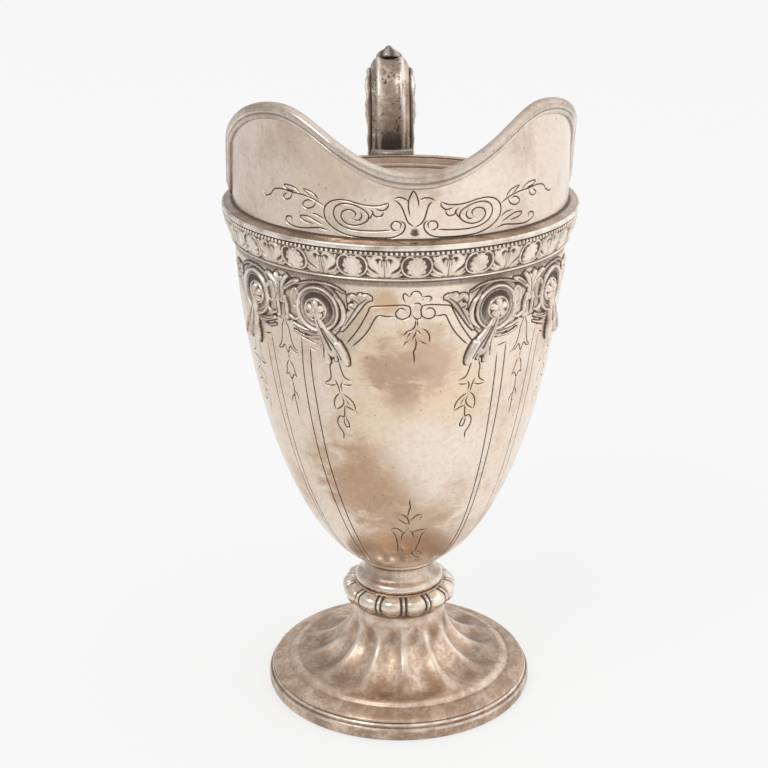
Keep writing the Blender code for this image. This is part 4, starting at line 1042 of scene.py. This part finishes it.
def rim_rise(turn):
    """Height of the rim above the foot of the ledge."""
    away = off_spout(turn)
    front = SPOUT_DIP + (LOBE_RISE - SPOUT_DIP) * ease(away / LOBE_ANGLE) ** 1.15
    above_back = (LOBE_RISE - BACK_RISE) * (1 - ease((away - LOBE_ANGLE) / (BACK_ANGLE - LOBE_ANGLE)))
    behind = BACK_RISE + above_back * (1 - ease((away - DROP_ANGLE) / DROP_SPAN))
    return np.where(away < LOBE_ANGLE, front, behind)


def lip_height(turn):
    """Height of the lip wire, which thins away where the rim comes down to the ledge."""
    full = ease((rim_rise(turn) - BACK_RISE - LEDGE_TALL) / LIP_FADE)
    return LIP_BACK + (LIP_TALL - LIP_BACK) * full


def collar_radius(turn, z):
    """Outside radius of the collar; the spout is drawn forward a little toward its lip."""
    rise = np.clip((np.asarray(z, float) - LEDGE_Z) / SPOUT_DIP, 0.0, 1.2)
    return COLLAR_RADIUS + SPOUT_FORWARD * (1 - ease(off_spout(turn) / LOBE_ANGLE)) * rise ** 2


def collar_height(turn):
    """Height of the sheet, which ends inside the lip wire."""
    return float(LEDGE_Z + rim_rise(turn) - 0.6 * lip_height(turn)) - LEDGE_Z


def lay_flat(turn, z):
    return turn * COLLAR_RADIUS, (z - LEDGE_Z) / collar_height(turn) * FLAT_TALL


def lift_up(x, y):
    turn = x / COLLAR_RADIUS
    return turn, LEDGE_Z + y / FLAT_TALL * collar_height(turn)


def on_collar(points, side=1, off=0.0):
    """A smooth engraved line from points in millimetres about the spout line, laid round the collar."""
    run = flowing(points, 4)
    return (side * run[:, 0] + off) / COLLAR_RADIUS, run[:, 1]


cuts = [on_collar(points) for points in lily_strokes]
cuts += [on_collar(points, side, SCROLL_OFF) for points in scroll_strokes for side in (-1, 1)]
rows = [lambda turn, k=k: LEDGE_Z + collar_height(turn) * k / COLLAR_ROWS for k in range(COLLAR_ROWS + 1)]
work = bmesh.new()
engraved(work, cuts, np.linspace(-math.pi, math.pi, COLLAR_TURNS + 1), rows, lay_flat, lift_up, collar_radius)
bmesh.ops.remove_doubles(work, verts=work.verts, dist=2e-6)
outer = set(work.verts)
spun(work, [(COLLAR_RADIUS - SHEET, LEDGE_Z + k) for k in range(INNER_ROWS + 1)], COLLAR_TURNS, math.pi)
for dot in work.verts:
    if dot not in outer:
        turn = math.atan2(dot.co.x, -dot.co.y)
        z = LEDGE_Z + (dot.co.z / mm - LEDGE_Z) / INNER_ROWS * collar_height(turn)
        dot.co = placed(float(collar_radius(turn, z)) - SHEET, turn, z)
bmesh.ops.remove_doubles(work, verts=work.verts, dist=2e-6)
inside_out(work, lambda p: Vector((-p.x, -p.y, 0)))
for low in (True, False):
    bmesh.ops.bridge_loops(work, edges=[bar for bar in work.edges if bar.is_boundary
                                        and (bar.verts[0].co.z < (LEDGE_Z + 0.2) * mm) == low])
collar_metal = old_silver(
    "collar_silver_coat", (236, 221, 207), (206, 184, 166), (228, 207, 187), (76, 62, 53),
    size=0.02, cover=0.32, seed=21.0, rough=0.21, bump=0.1, stains_and_shade=[
        stain_and_shade(-30, 132, 10, 0.6, (236, 216, 194), COLLAR_RADIUS),
        stain_and_shade(27, 131, 10, 0.6, (244, 231, 217), COLLAR_RADIUS),
        # Painted shadow: a brown patch on the collar just under the middle of the lip.
        stain_and_shade(0, 134, 7, 0.6, (190, 166, 146), COLLAR_RADIUS + 1.5),
        stain_and_shade(-0.7, 122.1, 0.95, 0.95, (92, 70, 60), COLLAR_RADIUS)])
collar_inside = old_silver("collar_inside_dull", (230, 210, 192), (196, 172, 152), (216, 194, 172),
                           (76, 62, 53), size=0.014, cover=0.55, seed=23.0, rough=0.34, bump=0.12, metal=0.1)
collar = fitted("collar_engraved_sheet", work, [collar_metal, collar_inside], "spout_collar")
sheen(collar, collar_radius)


# Lip: a moulded wire soldered along the wavy edge: a flattened bead, a soft groove and a small ridge.
# It thins to a plain edge behind, where the handle stands.
DRAW_RADIUS, DRAW_TALL = 40, 10              # the section is first drawn to this radius and height, then bent
lip_section = [
    (0.0, 0.55), (0.0, 0.88), (0.2, 1.0), (0.8, 1.03), (1.5, 1.0), (1.98, 0.9), (2.2, 0.74), (2.16, 0.56),
    (1.92, 0.44), (1.66, 0.38), (1.6, 0.3), (1.72, 0.21), (1.66, 0.1), (1.35, 0.02), (0.9, -0.02),
    (0.5, 0.05), (0.1, 0.3),
]
work = turned([(DRAW_RADIUS + r, DRAW_TALL * h) for r, h in flowing(lip_section, 3, closed=True)], 540)
hollow, rubbed = mark_layers(work)
for dot in work.verts:
    turn = math.atan2(dot.co.x, -dot.co.y)
    out = dot.co.xy.length / mm - DRAW_RADIUS
    up = dot.co.z / mm / DRAW_TALL
    tall = float(lip_height(turn))
    low = LEDGE_Z + float(rim_rise(turn)) - tall
    full = (tall - LIP_BACK) / (LIP_TALL - LIP_BACK)
    proud = out if out < SHEET else SHEET + (out - SHEET) * (0.12 + 0.88 * full)
    dot.co = placed(float(collar_radius(turn, low)) - SHEET + proud, turn, low + up * tall)
    # The groove holds dirt; the dark along the foot of the lip, where it meets the collar, is painted shade.
    dot[hollow] = full * max(peak(up, 0.34, 0.16, 0.6), peak(up, 0.0, 0.2, 0.5)) * (out > 0.8)
    dot[rubbed] = 0.8 * max(peak(up, 0.42, 0.12, 0.8), peak(up, 0.2, 0.1, 0.7)) * (out > 0.6)
bmesh.ops.recalc_face_normals(work, faces=work.faces)
lip_metal = old_silver("lip_silver", (218, 204, 192), (172, 153, 138), (200, 180, 162), (98, 83, 72),
                       size=0.013, cover=0.42, seed=25.0, rough=0.2, bump=0.08)
fitted("lip_moulded_wire", work, [lip_metal], "lip_wire")


# Roundels: eight low castings soldered to the bowl, two to each wide panel. A thin ring round a dish
# grey with painted shade, a broad ribbon beside it and a double band below that runs off to the palmette.
TRIM_Z = 104.9
CASTING_TURN, ROUNDEL_TURN = math.radians(-2.5), math.radians(29.4)
PANELS = ["front", "right", "back", "left"]
GRID, SOLDERED = 0.15, -0.3                  # spacing of a casting's points, and where its back lies
DISH_MID, DISH_RADIUS = (0.75, -0.45), 4.7


def hoop(centre, wide_way, tall_way, half, rise):
    """A closed oval ridge, as a stroke."""
    return [(centre[0] + wide_way * math.cos(a), centre[1] + tall_way * math.sin(a), half, rise)
            for a in np.linspace(0, math.tau, 25)]


def cast_relief(low, high, step, strokes, veins, cut, floor=None, shade_at=None):
    """A flat casting in millimetres: a grid raised along strokes, scored along veins and trimmed to shape.
    A narrow rim of dirty solder is left all round; the last argument adds painted shade at chosen places."""
    made = bmesh.new()
    hollow, rubbed = mark_layers(made)
    across, upward = round((high[0] - low[0]) / step), round((high[1] - low[1]) / step)
    gx, gy = np.meshgrid(np.linspace(low[0], high[0], across + 1), np.linspace(low[1], high[1], upward + 1),
                         indexing='ij')
    rise = relief_from(strokes, gx, gy)
    if floor:
        rise = np.maximum(rise, floor(gx, gy))
    body = rise > 0.0
    scratches = [[(x, y, 1.8 * wide, 1.0) for x, y, wide in line] for line in veins]
    scored = relief_from(scratches, gx, gy) * (rise > 0.3)
    rise = rise - 1.5 * cut * scored
    cavity = softened(rise, 3) - rise
    near = softened(body.astype(float), 1) > 1e-9
    dark = np.maximum(0.85 * np.clip(cavity / 0.22, 0, 1) + 0.75 * ~body, 0.75 * scored)
    # Painted shade at the chosen places, kept off the high relief.
    if shade_at:
        dark = np.maximum(dark, shade_at(gx, gy) * np.clip(1.6 - 2 * rise, 0, 1))
    bright = 0.7 * np.clip(-cavity / 0.25, 0, 1) * np.clip(rise / 0.6, 0, 1)
    bmesh.ops.create_grid(made, x_segments=across, y_segments=upward, size=0.5)
    for dot in list(made.verts):
        i, j = round((dot.co.x + 0.5) * across), round((dot.co.y + 0.5) * upward)
        dot.co = (gx[i, j], gy[i, j], SOLDERED)
        if not near[i, j]:
            made.verts.remove(dot)
    bmesh.ops.delete(made, geom=[bar for bar in made.edges if not bar.link_faces], context='EDGES')
    bmesh.ops.delete(made, geom=[dot for dot in made.verts if not dot.link_faces], context='VERTS')
    upper = bmesh.ops.extrude_face_region(made, geom=made.faces[:])["geom"]
    for dot in only(bmesh.types.BMVert, upper):
        i = min(round((dot.co.x - low[0]) / step), across)
        j = min(round((dot.co.y - low[1]) / step), upward)
        dot.co.z = max(float(rise[i, j]), 0.03)
        dot[hollow] = float(min(dark[i, j], 1.0))
        dot[rubbed] = float(bright[i, j])
    return made


def draped(flat, turn, z, side=1):
    """A copy of a flat casting bent round the bowl at an angle and a height."""
    made = flat.copy()
    spots = np.array([dot.co[:] for dot in made.verts])
    high = z + spots[:, 1]
    r = bowl_radius(high)
    lean = np.arctan((bowl_radius(high + 0.1) - bowl_radius(high - 0.1)) / 0.2)
    at = turn + side * spots[:, 0] / r
    out = r + spots[:, 2] * np.cos(lean)
    laid = np.stack([out * np.sin(at), -out * np.cos(at), high - spots[:, 2] * np.sin(lean)], 1) * mm
    for dot, place in zip(made.verts, laid):
        dot.co = place
    bmesh.ops.recalc_face_normals(made, faces=made.faces)
    return made


def soldered(kind, flat):
    """Set a copy of a casting at each of the eight corners, two to a panel and mirrored."""
    for number, panel in enumerate(PANELS):
        for side, beside in ((-1, PANELS[number - 1]), (1, PANELS[(number + 1) % 4])):
            turn = number * math.pi / 2 + side * ROUNDEL_TURN + CASTING_TURN
            spot = "_" + panel + "_" + beside
            fitted(kind + "_cast" + spot, draped(flat, turn, TRIM_Z, side), [cast_metal], kind + spot)
    flat.free()


roundel_strokes = [
    hoop(DISH_MID, 4.75, 4.75, 0.32, 0.9), hoop(DISH_MID, 3.85, 3.85, 0.18, 0.55),
    [(-3.4, 3.0, 0.26, 0.5), (-4.75, 1.2, 0.48, 0.62), (-5.2, -0.9, 0.62, 0.66), (-4.7, -2.8, 0.56, 0.64),
     (-3.1, -4.5, 0.32, 0.55)],
    [(0.6, -5.95, 0.4, 0.62), (2.6, -6.0, 0.46, 0.7), (4.9, -5.55, 0.46, 0.72), (7.0, -4.8, 0.42, 0.68)],
    [(1.6, -7.25, 0.16, 0.36), (4.4, -7.2, 0.17, 0.38), (7.0, -6.3, 0.15, 0.34)],
    [(-5.6, 3.8, 0.18, 0.36), (-3.4, 4.9, 0.22, 0.42), (-0.8, 5.4, 0.24, 0.44), (2.4, 5.2, 0.24, 0.44),
     (5.4, 4.4, 0.22, 0.42), (7.0, 4.0, 0.2, 0.4)],
]
roundel_veins = [[(1.0, -5.95, 0.09), (4.6, -5.6, 0.1), (6.8, -4.9, 0.08)]]


def dish(x, y):
    """The hollow dish inside the ring and the plain ground round it."""
    r = np.hypot(x - DISH_MID[0], y - DISH_MID[1])
    ground = np.hypot((x - 1.0) / 6.2, (y + 0.8) / 6.4) < 1
    hollowed = 0.2 + 0.28 * np.clip((r - 3.2) / 1.5, 0, 1) ** 2
    return np.where(r < DISH_RADIUS, hollowed, np.where(ground, 0.12, 0.0))


def dish_shade(x, y):
    """Painted shade in the dish, darkest in its upper half, and a little above the ring."""
    r = np.hypot(x - DISH_MID[0], y - DISH_MID[1])
    high = np.clip(0.75 + 0.08 * (y - 0.4 * x), 0.55, 1)
    return 0.95 * high * np.exp(-((r - 3.2) / 1.35) ** 2) + 0.4 * (r > 5.2) * (y > 2.5)


blooms = [                   # green copper salts in corners of the castings: place, and reach in millimetres
    ((-0.0265, -0.0395, 0.1085), 2.6), ((0.0125, -0.0485, 0.0925), 1.6), ((-0.0165, -0.0465, 0.0985), 1.8),
]
cast_metal = old_silver("casting_silver_coat", (230, 214, 200), (188, 165, 147), (214, 192, 172),
                        (86, 73, 63), size=0.007, cover=0.4, seed=31.0, rough=0.3, bump=0.06,
                        stains_and_shade=[stain_and_shade_at(place, reach, 0.35, (158, 178, 164)) for place, reach in blooms])
soldered("roundel", cast_relief((-7.0, -7.6), (7.4, 6.0), GRID, roundel_strokes, roundel_veins, 0.1, dish,
                                dish_shade))


# Husk drops: a rosette in each roundel and a split husk hanging from it, cast in one and soldered on.
# The husk swells smoothly downward; its two petals part at the very foot, with a dark notch between them.
HUSK_GRID, PETALS = 0.14, 5
ROSETTE_X, ROSETTE_Y = 1.1, -0.6
husk_strokes = [
    [(1.0, -1.2, 0.45, 1.2), (0.75, -1.9, 0.65, 1.25), (0.3, -3.2, 0.95, 1.35), (-0.5, -5.0, 1.35, 1.45),
     (-1.3, -6.8, 1.8, 1.5), (-2.0, -8.2, 2.15, 1.45), (-2.3, -8.9, 2.1, 1.3)],
    [(-3.4, -8.0, 1.2, 1.4), (-4.3, -9.6, 1.2, 1.45), (-4.9, -11.0, 1.05, 1.4), (-5.2, -11.9, 0.75, 1.1)],
    [(-1.1, -8.0, 1.25, 1.4), (-0.75, -9.6, 1.2, 1.45), (-0.75, -11.0, 1.05, 1.4), (-0.95, -12.0, 0.75, 1.1)],
    [(-2.75, -9.6, 0.5, 0.5), (-2.85, -10.8, 0.5, 0.55), (-2.9, -11.6, 0.3, 0.45)],
    hoop((ROSETTE_X, ROSETTE_Y), 2.45, 2.35, 0.24, 0.72),
    [(ROSETTE_X, ROSETTE_Y + 0.05, 0.5, 1.5), (ROSETTE_X + 0.02, ROSETTE_Y, 0.5, 1.5)],
]
for k in range(PETALS):
    petal = math.radians(90 + 360 / PETALS * k)
    c, s = math.cos(petal), math.sin(petal)
    husk_strokes.append([(ROSETTE_X + 0.8 * c, ROSETTE_Y + 0.75 * s, 0.8, 1.3),
                         (ROSETTE_X + 1.4 * c, ROSETTE_Y + 1.3 * s, 0.92, 1.2)])
husk_veins = [
    [(0.5, -2.6, 0.08), (-0.6, -5.0, 0.12), (-1.7, -7.2, 0.15), (-2.4, -8.8, 0.16)],
    [(-0.6, -4.2, 0.08), (-2.0, -6.6, 0.1), (-3.4, -8.6, 0.12), (-4.6, -10.8, 0.1)],
    [(0.3, -4.4, 0.07), (-0.2, -6.4, 0.09), (-0.7, -8.2, 0.11), (-0.7, -10.6, 0.1)],
    [(-3.0, -8.2, 0.06), (-4.0, -9.6, 0.09), (-4.4, -10.8, 0.07)],
]
soldered("husk_drop", cast_relief((-6.5, -13.6), (4.4, 2.2), HUSK_GRID, husk_strokes, husk_veins, 0.24))


# Leaf sprays: an acanthus leaf beside each roundel, curled over at its tip toward the panel's middle.
# Low castings, cut round and soldered flat to the bowl; the veins hold dark dirt.
spray_strokes = [
    [(-11.0, 3.0, 0.4, 0.42), (-10.2, 3.1, 0.8, 0.52), (-9.2, 2.6, 1.0, 0.55), (-8.3, 1.5, 1.0, 0.55),
     (-7.4, 0.1, 0.9, 0.52), (-6.5, -1.5, 0.7, 0.48), (-5.5, -3.2, 0.45, 0.4), (-4.5, -4.6, 0.22, 0.32)],
    [(-9.6, 3.0, 0.6, 0.5), (-9.0, 3.5, 0.55, 0.54), (-8.5, 3.3, 0.4, 0.48)],
    [(-8.4, 2.3, 0.65, 0.52), (-7.4, 3.0, 0.75, 0.58), (-6.6, 2.8, 0.6, 0.55), (-6.4, 2.1, 0.36, 0.48)],
    [(-7.5, 1.0, 0.55, 0.5), (-6.8, 1.1, 0.55, 0.54), (-6.45, 0.6, 0.34, 0.46)],
    [(-6.8, -0.5, 0.46, 0.46), (-6.3, -0.6, 0.45, 0.48), (-6.0, -1.1, 0.26, 0.42)],
]
spray_veins = [[(-5.4, -3.4, 0.08), (-7.0, -0.8, 0.12), (-8.5, 1.5, 0.13), (-10.2, 2.9, 0.1)],
               [(-8.4, 1.9, 0.09), (-7.2, 2.7, 0.13)], [(-7.6, 0.5, 0.09), (-6.8, 0.9, 0.12)]]
soldered("leaf_spray", cast_relief((-12.2, -5.2), (-4.0, 4.3), GRID, spray_strokes, spray_veins, 0.14))


# Palmettes: a casting between each two roundels: lobed wings over two upright husks, with a smooth
# oval hollow on either side and a small scroll at its foot.
PALM_Z = 105.4
palm_half = [
    [(0.0, -0.8, 0.5, 0.75), (0.0, 1.2, 0.85, 0.95), (0.0, 3.0, 0.85, 0.9), (0.0, 4.2, 0.5, 0.75)],
    [(0.4, 2.8, 0.55, 0.85), (1.0, 4.1, 0.62, 0.95), (1.5, 4.8, 0.5, 0.85)],
    [(1.0, 2.2, 0.5, 0.8), (2.4, 3.4, 0.6, 0.9), (3.7, 4.2, 0.62, 0.88), (4.6, 4.5, 0.42, 0.72)],
    [(0.85, 0.2, 0.48, 0.85), (1.25, -1.4, 0.6, 1.0), (1.3, -3.0, 0.56, 0.95), (1.2, -4.2, 0.4, 0.75)],
    hoop((3.7, 0.5), 1.15, 2.1, 0.26, 0.5),
    [(1.7, -3.5, 0.28, 0.55), (2.9, -4.1, 0.36, 0.68), (4.1, -3.9, 0.38, 0.68), (4.8, -3.1, 0.28, 0.55)],
]
palm_ground = [(0.0, -2.4, 2.8, 0.2), (0.0, 0.0, 4.6, 0.22), (0.0, 2.4, 3.4, 0.2)]
palm_middle = [(0.0, 0.2, 0.1), (0.0, 3.6, 0.12)]
palm_veins = [[(1.6, 2.8, 0.08), (4.0, 4.3, 0.11)], [(1.2, -1.0, 0.09), (1.25, -3.6, 0.12)]]
flat = cast_relief((-5.3, -5.2), (5.3, 5.7), GRID, both_ways(palm_half) + [palm_ground],
                   both_ways(palm_veins) + [palm_middle], 0.12)
for number, spot in enumerate(("front_right", "back_right", "back_left", "front_left")):
    work = draped(flat, (number + 0.5) * math.pi / 2 + CASTING_TURN, PALM_Z)
    fitted("palmette_cast_" + spot, work, [cast_metal], "palmette_" + spot)
flat.free()


# Handle strap: a cast strap from the rim over a high crest and down to the bowl. Its outer face is
# a shallow channel between two ridges that are rubbed bright; the channel is dark and freckled.
HANDLE_TURN = math.radians(-2.2)
BEND = 0.56                                  # how roundly the strap runs from one place to the next
COURSE = 80                                  # steps along each of its three stretches, for the marks
RIDGE_PLACE, RIDGE_HALF = 2.95, 0.8
JOINT_Z = BOWL_TOP - 39.5
joint_slope = math.atan(float(bowl_radius(JOINT_Z + 0.2) - bowl_radius(JOINT_Z - 0.2)) / 0.4)
joint_out = Vector((0, math.cos(joint_slope), -math.sin(joint_slope)))
joint = Vector((0, float(bowl_radius(JOINT_Z)), JOINT_Z))
strap_start, strap_crest = Vector((0, 43.6, 113.5)), Vector((0, 53.0, 140.0))
strap_swell = Vector((0, 66.5, 114.5))
strap_end = joint + joint_out * 1.2
stretches = [
    (strap_start, strap_start + Vector((0, 0, BEND * (strap_crest.z - strap_start.z))),
     strap_crest - Vector((0, BEND * (strap_crest.y - strap_start.y), 0)), strap_crest),
    (strap_crest, strap_crest + Vector((0, BEND * (strap_swell.y - strap_crest.y), 0)),
     strap_swell + Vector((0, 0, BEND * (strap_crest.z - strap_swell.z))), strap_swell),
    (strap_swell, strap_swell - Vector((0, 0, BEND * (strap_swell.z - strap_end.z))),
     strap_end + joint_out * (BEND * (strap_swell.y - strap_end.y)), strap_end),
]


def strap_point(t):
    """Middle of the strap, from 0 at the rim to 3 at the bowl."""
    part = min(int(t), 2)
    a, b, c, d = stretches[part]
    u = t - part
    v = 1 - u
    return a * v ** 3 + b * (3 * v * v * u) + c * (3 * v * u * u) + d * u ** 3


def strap_frame(t, width=1.0):
    """Frame on the strap: across, outward and along."""
    ahead = (strap_point(min(t + 0.002, 3.0)) - strap_point(max(t - 0.002, 0.0))).normalized()
    across = Vector((1, 0, 0))
    out = ahead.cross(across).normalized() * -1
    if out.dot(Vector((0, -ahead.z, ahead.y))) < 0:
        out = -out
    spot = Matrix((across * width, out, ahead)).transposed().to_4x4()
    spot.translation = strap_point(t)
    return spot


def whole(half):
    """A closed smooth section from the half of it on one side."""
    return flowing(half + [(-x, y) for x, y in half[-2:0:-1]], 2, closed=True)


def drawn(made, section, frames):
    """Draw a closed section along a row of frames and close both ends."""
    dots = [made.verts.new(frames[0] @ Vector((x, y, 0))) for x, y in section]
    first = bars = [made.edges.new(pair) for pair in zip(dots, dots[1:] + dots[:1])]
    for before, now in zip(frames, frames[1:]):
        grown = bmesh.ops.extrude_edge_only(made, edges=bars)["geom"]
        dots = set(only(bmesh.types.BMVert, grown))
        bars = [bar for bar in only(bmesh.types.BMEdge, grown) if set(bar.verts) <= dots]
        bmesh.ops.transform(made, matrix=now @ before.inverted(), verts=list(dots))
    for end in (first, bars):
        bmesh.ops.holes_fill(made, edges=end, sides=0)


def along_strap(made, dirt_at, rub_at):
    """Mark dirt and rubbing by the place along the strap, 0 to 3, across it and out of it."""
    hollow, rubbed = mark_layers(made)
    for dot in made.verts:
        k = int(np.argmin(((course_spots - np.array(dot.co)) ** 2).sum(1)))
        local = course[k].inverted() @ dot.co
        dot[hollow] = dirt_at(k / COURSE, abs(local.x), local.y)
        dot[rubbed] = rub_at(k / COURSE, abs(local.x), local.y)


def handle_set(made):
    """Turn the finished piece to the handle's place, a little off the spout line."""
    bmesh.ops.scale(made, vec=(mm, mm, mm), verts=made.verts)
    bmesh.ops.rotate(made, cent=(0, 0, 0), matrix=Matrix.Rotation(HANDLE_TURN, 3, 'Z'), verts=made.verts)
    bmesh.ops.recalc_face_normals(made, faces=made.faces)


def channel_dirt(t, x, y):
    """Dirt in the channel, thickest near the rim, and on the underside."""
    channel = swell(y, 0.3, 0.8) * (1 - peak(x, RIDGE_PLACE, RIDGE_HALF))
    near_rim = 0.3 * (1 - swell(t, 0.05, 0.4))
    return channel * (0.2 + 0.6 * (1 - swell(t, 0.1, 0.4))) + near_rim + 0.25 * (y < -1)


def ridge_rub(t, x, y):
    """Bright tops of the two ridges, duller near the rim."""
    return swell(y, 0.6, 0.9) * peak(x, RIDGE_PLACE, RIDGE_HALF) * (0.35 + 0.65 * swell(t, 0.1, 0.5))


def pits(tree):
    """Dark pits that cluster where the plate has worn and the metal below has gone black."""
    here = spot_of(tree)
    speck = ranged(tree, noise(tree, here, 1400.0, 2.0), 0.52, 0.62, 0.0, 0.9)
    return times(tree, speck, ranged(tree, noise(tree, here, 230.0, 3.0), 0.43, 0.56))


strap_half = [
    (0.0, 0.82), (0.9, 0.84), (1.6, 0.96), (2.2, 1.24), (2.75, 1.4), (3.3, 1.2), (3.8, 0.7), (4.25, 0.05),
    (4.6, -0.6), (4.65, -1.1), (4.3, -1.45), (2.8, -1.58), (0.0, -1.6),
]
course = [strap_frame(t) for t in np.linspace(0.0, 3.0, 3 * COURSE + 1)]
course_spots = np.array([list(spot.translation) for spot in course])
work = bmesh.new()
drawn(work, whole(strap_half), [strap_frame(t) for t in np.linspace(0.0, 3.0, 121)])
along_strap(work, channel_dirt, ridge_rub)
handle_set(work)
handle_metal = old_silver("handle_silver_coat", (218, 200, 184), (144, 124, 108), (186, 162, 142),
                          (64, 54, 46), size=0.006, cover=0.55, seed=41.0, rough=0.25, bump=0.25, dents=1.8,
                          stains_and_shade=[(pits, tone(70, 58, 48))])
fitted("handle_cast_strap", work, [handle_metal], "handle_strap")


# Handle leaf: a long acanthus leaf under the strap, cast apart and soldered on. Its lobed edges
# curl out on both sides and are rubbed paler than the hollow under the strap.
LEAF_RUN = (0.03, 1.7)
lobe_ends = [0.0, 0.17, 0.31, 0.47, 0.58, 0.71, 0.81, 0.91, 1.0]
leaf_section = [
    (0.0, -1.7), (2.6, -1.72), (4.2, -1.7), (5.2, -1.5), (5.85, -1.25), (6.25, -1.45), (6.15, -1.95),
    (5.3, -2.4), (3.6, -2.8), (1.8, -2.95), (0.0, -3.0),
]


def leaf_width(share):
    """Half width of the leaf along its run: long lobes of unequal length, each with a notch below it."""
    swollen = 0.86 + 0.14 * math.sin(math.pi * min(share / 0.6, 1.0))
    tip = 1.0 if share < 0.7 else 1.0 - 0.75 * ((share - 0.7) / 0.3) ** 2
    number = max(k for k, end in enumerate(lobe_ends[:-1]) if share >= end)
    u = (share - lobe_ends[number]) / (lobe_ends[number + 1] - lobe_ends[number])
    lobe = (math.sin(math.pi * u ** 0.75)) ** 0.5
    teeth = 0.012 * math.cos(6 * math.pi * u)
    return swollen * tip * (0.91 + 0.09 * lobe + teeth)


work = bmesh.new()
start, end = LEAF_RUN
drawn(work, whole(leaf_section), [strap_frame(start + (end - start) * share, leaf_width(share))
                                  for share in np.linspace(0.0, 1.0, 180)])
along_strap(work, lambda t, x, y: 0.7 * (1 - swell(x, 4.6, 5.2)) + 0.12,
            lambda t, x, y: 0.6 * swell(x, 5.1, 5.8))
handle_set(work)
leaf_metal = old_silver("handle_leaf_silver", (206, 194, 184), (146, 131, 119), (180, 162, 146), (66, 57, 50),
                        size=0.005, cover=0.55, seed=43.0, rough=0.28, bump=0.15, dirt_and_shade_amount=0.85)
fitted("handle_leaf_cast", work, [leaf_metal], "handle_leaf")


# Handle bud: the pointed bud behind the crest, cast with seven narrow petals that spread at its foot
# and soldered to the strap.
BUD_PETALS, BUD_FOLD, BUD_SEAT, BUD_Y = 7, 0.09, 1.25, 56.5
bud_line = [
    (0.0, 3.3), (0.55, 3.15), (0.9, 2.75), (1.3, 2.3), (2.0, 1.9), (2.8, 1.35), (3.35, 0.6), (3.5, -0.1),
    (3.2, -0.45), (2.3, -0.5), (0.0, -0.5),
]
bud_t = min((abs(strap_point(1 + 0.02 * i).y - BUD_Y), 1 + 0.02 * i) for i in range(50))[1]
work = turned(flowing(bud_line, 3), 60)
bmesh.ops.scale(work, vec=(1 / mm, 1 / mm, 1 / mm), verts=work.verts)
hollow, rubbed = mark_layers(work)
for dot in work.verts:
    fold = 0.5 + 0.5 * math.cos(BUD_PETALS * math.atan2(dot.co.y, dot.co.x))
    full = swell(dot.co.xy.length, 0.3, 1.6)
    dot[hollow] = 0.2 + 0.55 * full * (1 - fold) ** 2
    dot[rubbed] = 0.5 * fold * full
    dot.co.xy *= 1 - BUD_FOLD * full * (1 - fold)
seat = strap_frame(bud_t)
upright = Matrix((seat.col[0].xyz, seat.col[2].xyz * -1, seat.col[1].xyz)).transposed().to_4x4()
upright.translation = seat.translation + seat.col[1].xyz * BUD_SEAT
bmesh.ops.transform(work, matrix=upright, verts=work.verts)
handle_set(work)
fitted("handle_bud_cast", work, [leaf_metal], "handle_bud")


# Handle plates: two small plates that spread the pull of the handle, one under the rim ledge and one
# on the bowl, filed to shape, rounded at the edge and soldered all round.
RIM_PLATE_PLACE, RIM_PLATE_THICK = Vector((0, 39.7, 117.2)), 3.1
PAD_HALF_WIDE, PAD_HALF_TALL, PAD_THICK, PAD_LOBES, PAD_BEND = 5.5, 7.5, 1.3, 9, 32.0
PLATE_EDGE = 0.5
shield = [
    (4.9, 3.8), (5.2, 1.5), (5.1, -0.8), (3.9, -2.6), (1.6, -3.3), (0.0, -3.8), (-1.6, -3.3), (-3.9, -2.6),
    (-5.1, -0.8), (-5.2, 1.5), (-4.9, 3.8),
]


def plate_cut(outline, thick):
    """Cut a plate and round its front edge."""
    made = bmesh.new()
    face = made.faces.new([made.verts.new((x, y, SOLDERED)) for x, y in outline])
    grown = bmesh.ops.extrude_face_region(made, geom=[face])["geom"]
    bmesh.ops.translate(made, verts=only(bmesh.types.BMVert, grown), vec=(0, 0, thick - SOLDERED))
    bmesh.ops.recalc_face_normals(made, faces=made.faces)
    front = [bar for bar in made.edges if min(dot.co.z for dot in bar.verts) > thick - 0.01]
    bmesh.ops.bevel(made, geom=front, offset=PLATE_EDGE, segments=4, profile=0.5, affect='EDGES', material=-1)
    hollow, rubbed = mark_layers(made)
    for dot in made.verts:
        dot[hollow] = 0.4 - 0.4 * swell(dot.co.z, -0.2, 0.6)
        dot[rubbed] = swell(dot.co.z, thick - 0.2, thick)
    return made


work = plate_cut(flowing(shield, 3), RIM_PLATE_THICK)
rim_seat = Matrix(((-1, 0, 0), (0, 0, 1), (0, 1, 0))).to_4x4()
rim_seat.translation = RIM_PLATE_PLACE
bmesh.ops.transform(work, matrix=rim_seat, verts=work.verts)
handle_set(work)
fitted("handle_plate_at_rim", work, [leaf_metal], "handle_rim_plate")

oval = []
for turn in np.linspace(0, math.tau, 72, endpoint=False):
    lobed = 1 - 0.07 * (1 - abs(math.cos(PAD_LOBES / 2 * turn)) ** 0.7)
    oval.append((PAD_HALF_WIDE * lobed * math.sin(turn), PAD_HALF_TALL * lobed * math.cos(turn)))
work = plate_cut(oval, PAD_THICK)
for dot in work.verts:
    dot.co.z -= dot.co.x ** 2 / (2 * PAD_BEND)
pad_seat = Matrix((Vector((-1, 0, 0)), joint_out.cross(Vector((-1, 0, 0))), joint_out)).transposed().to_4x4()
pad_seat.translation = joint + joint_out * 0.3
bmesh.ops.transform(work, matrix=pad_seat, verts=work.verts)
handle_set(work)
fitted("handle_plate_on_bowl", work, [leaf_metal], "handle_bowl_plate")
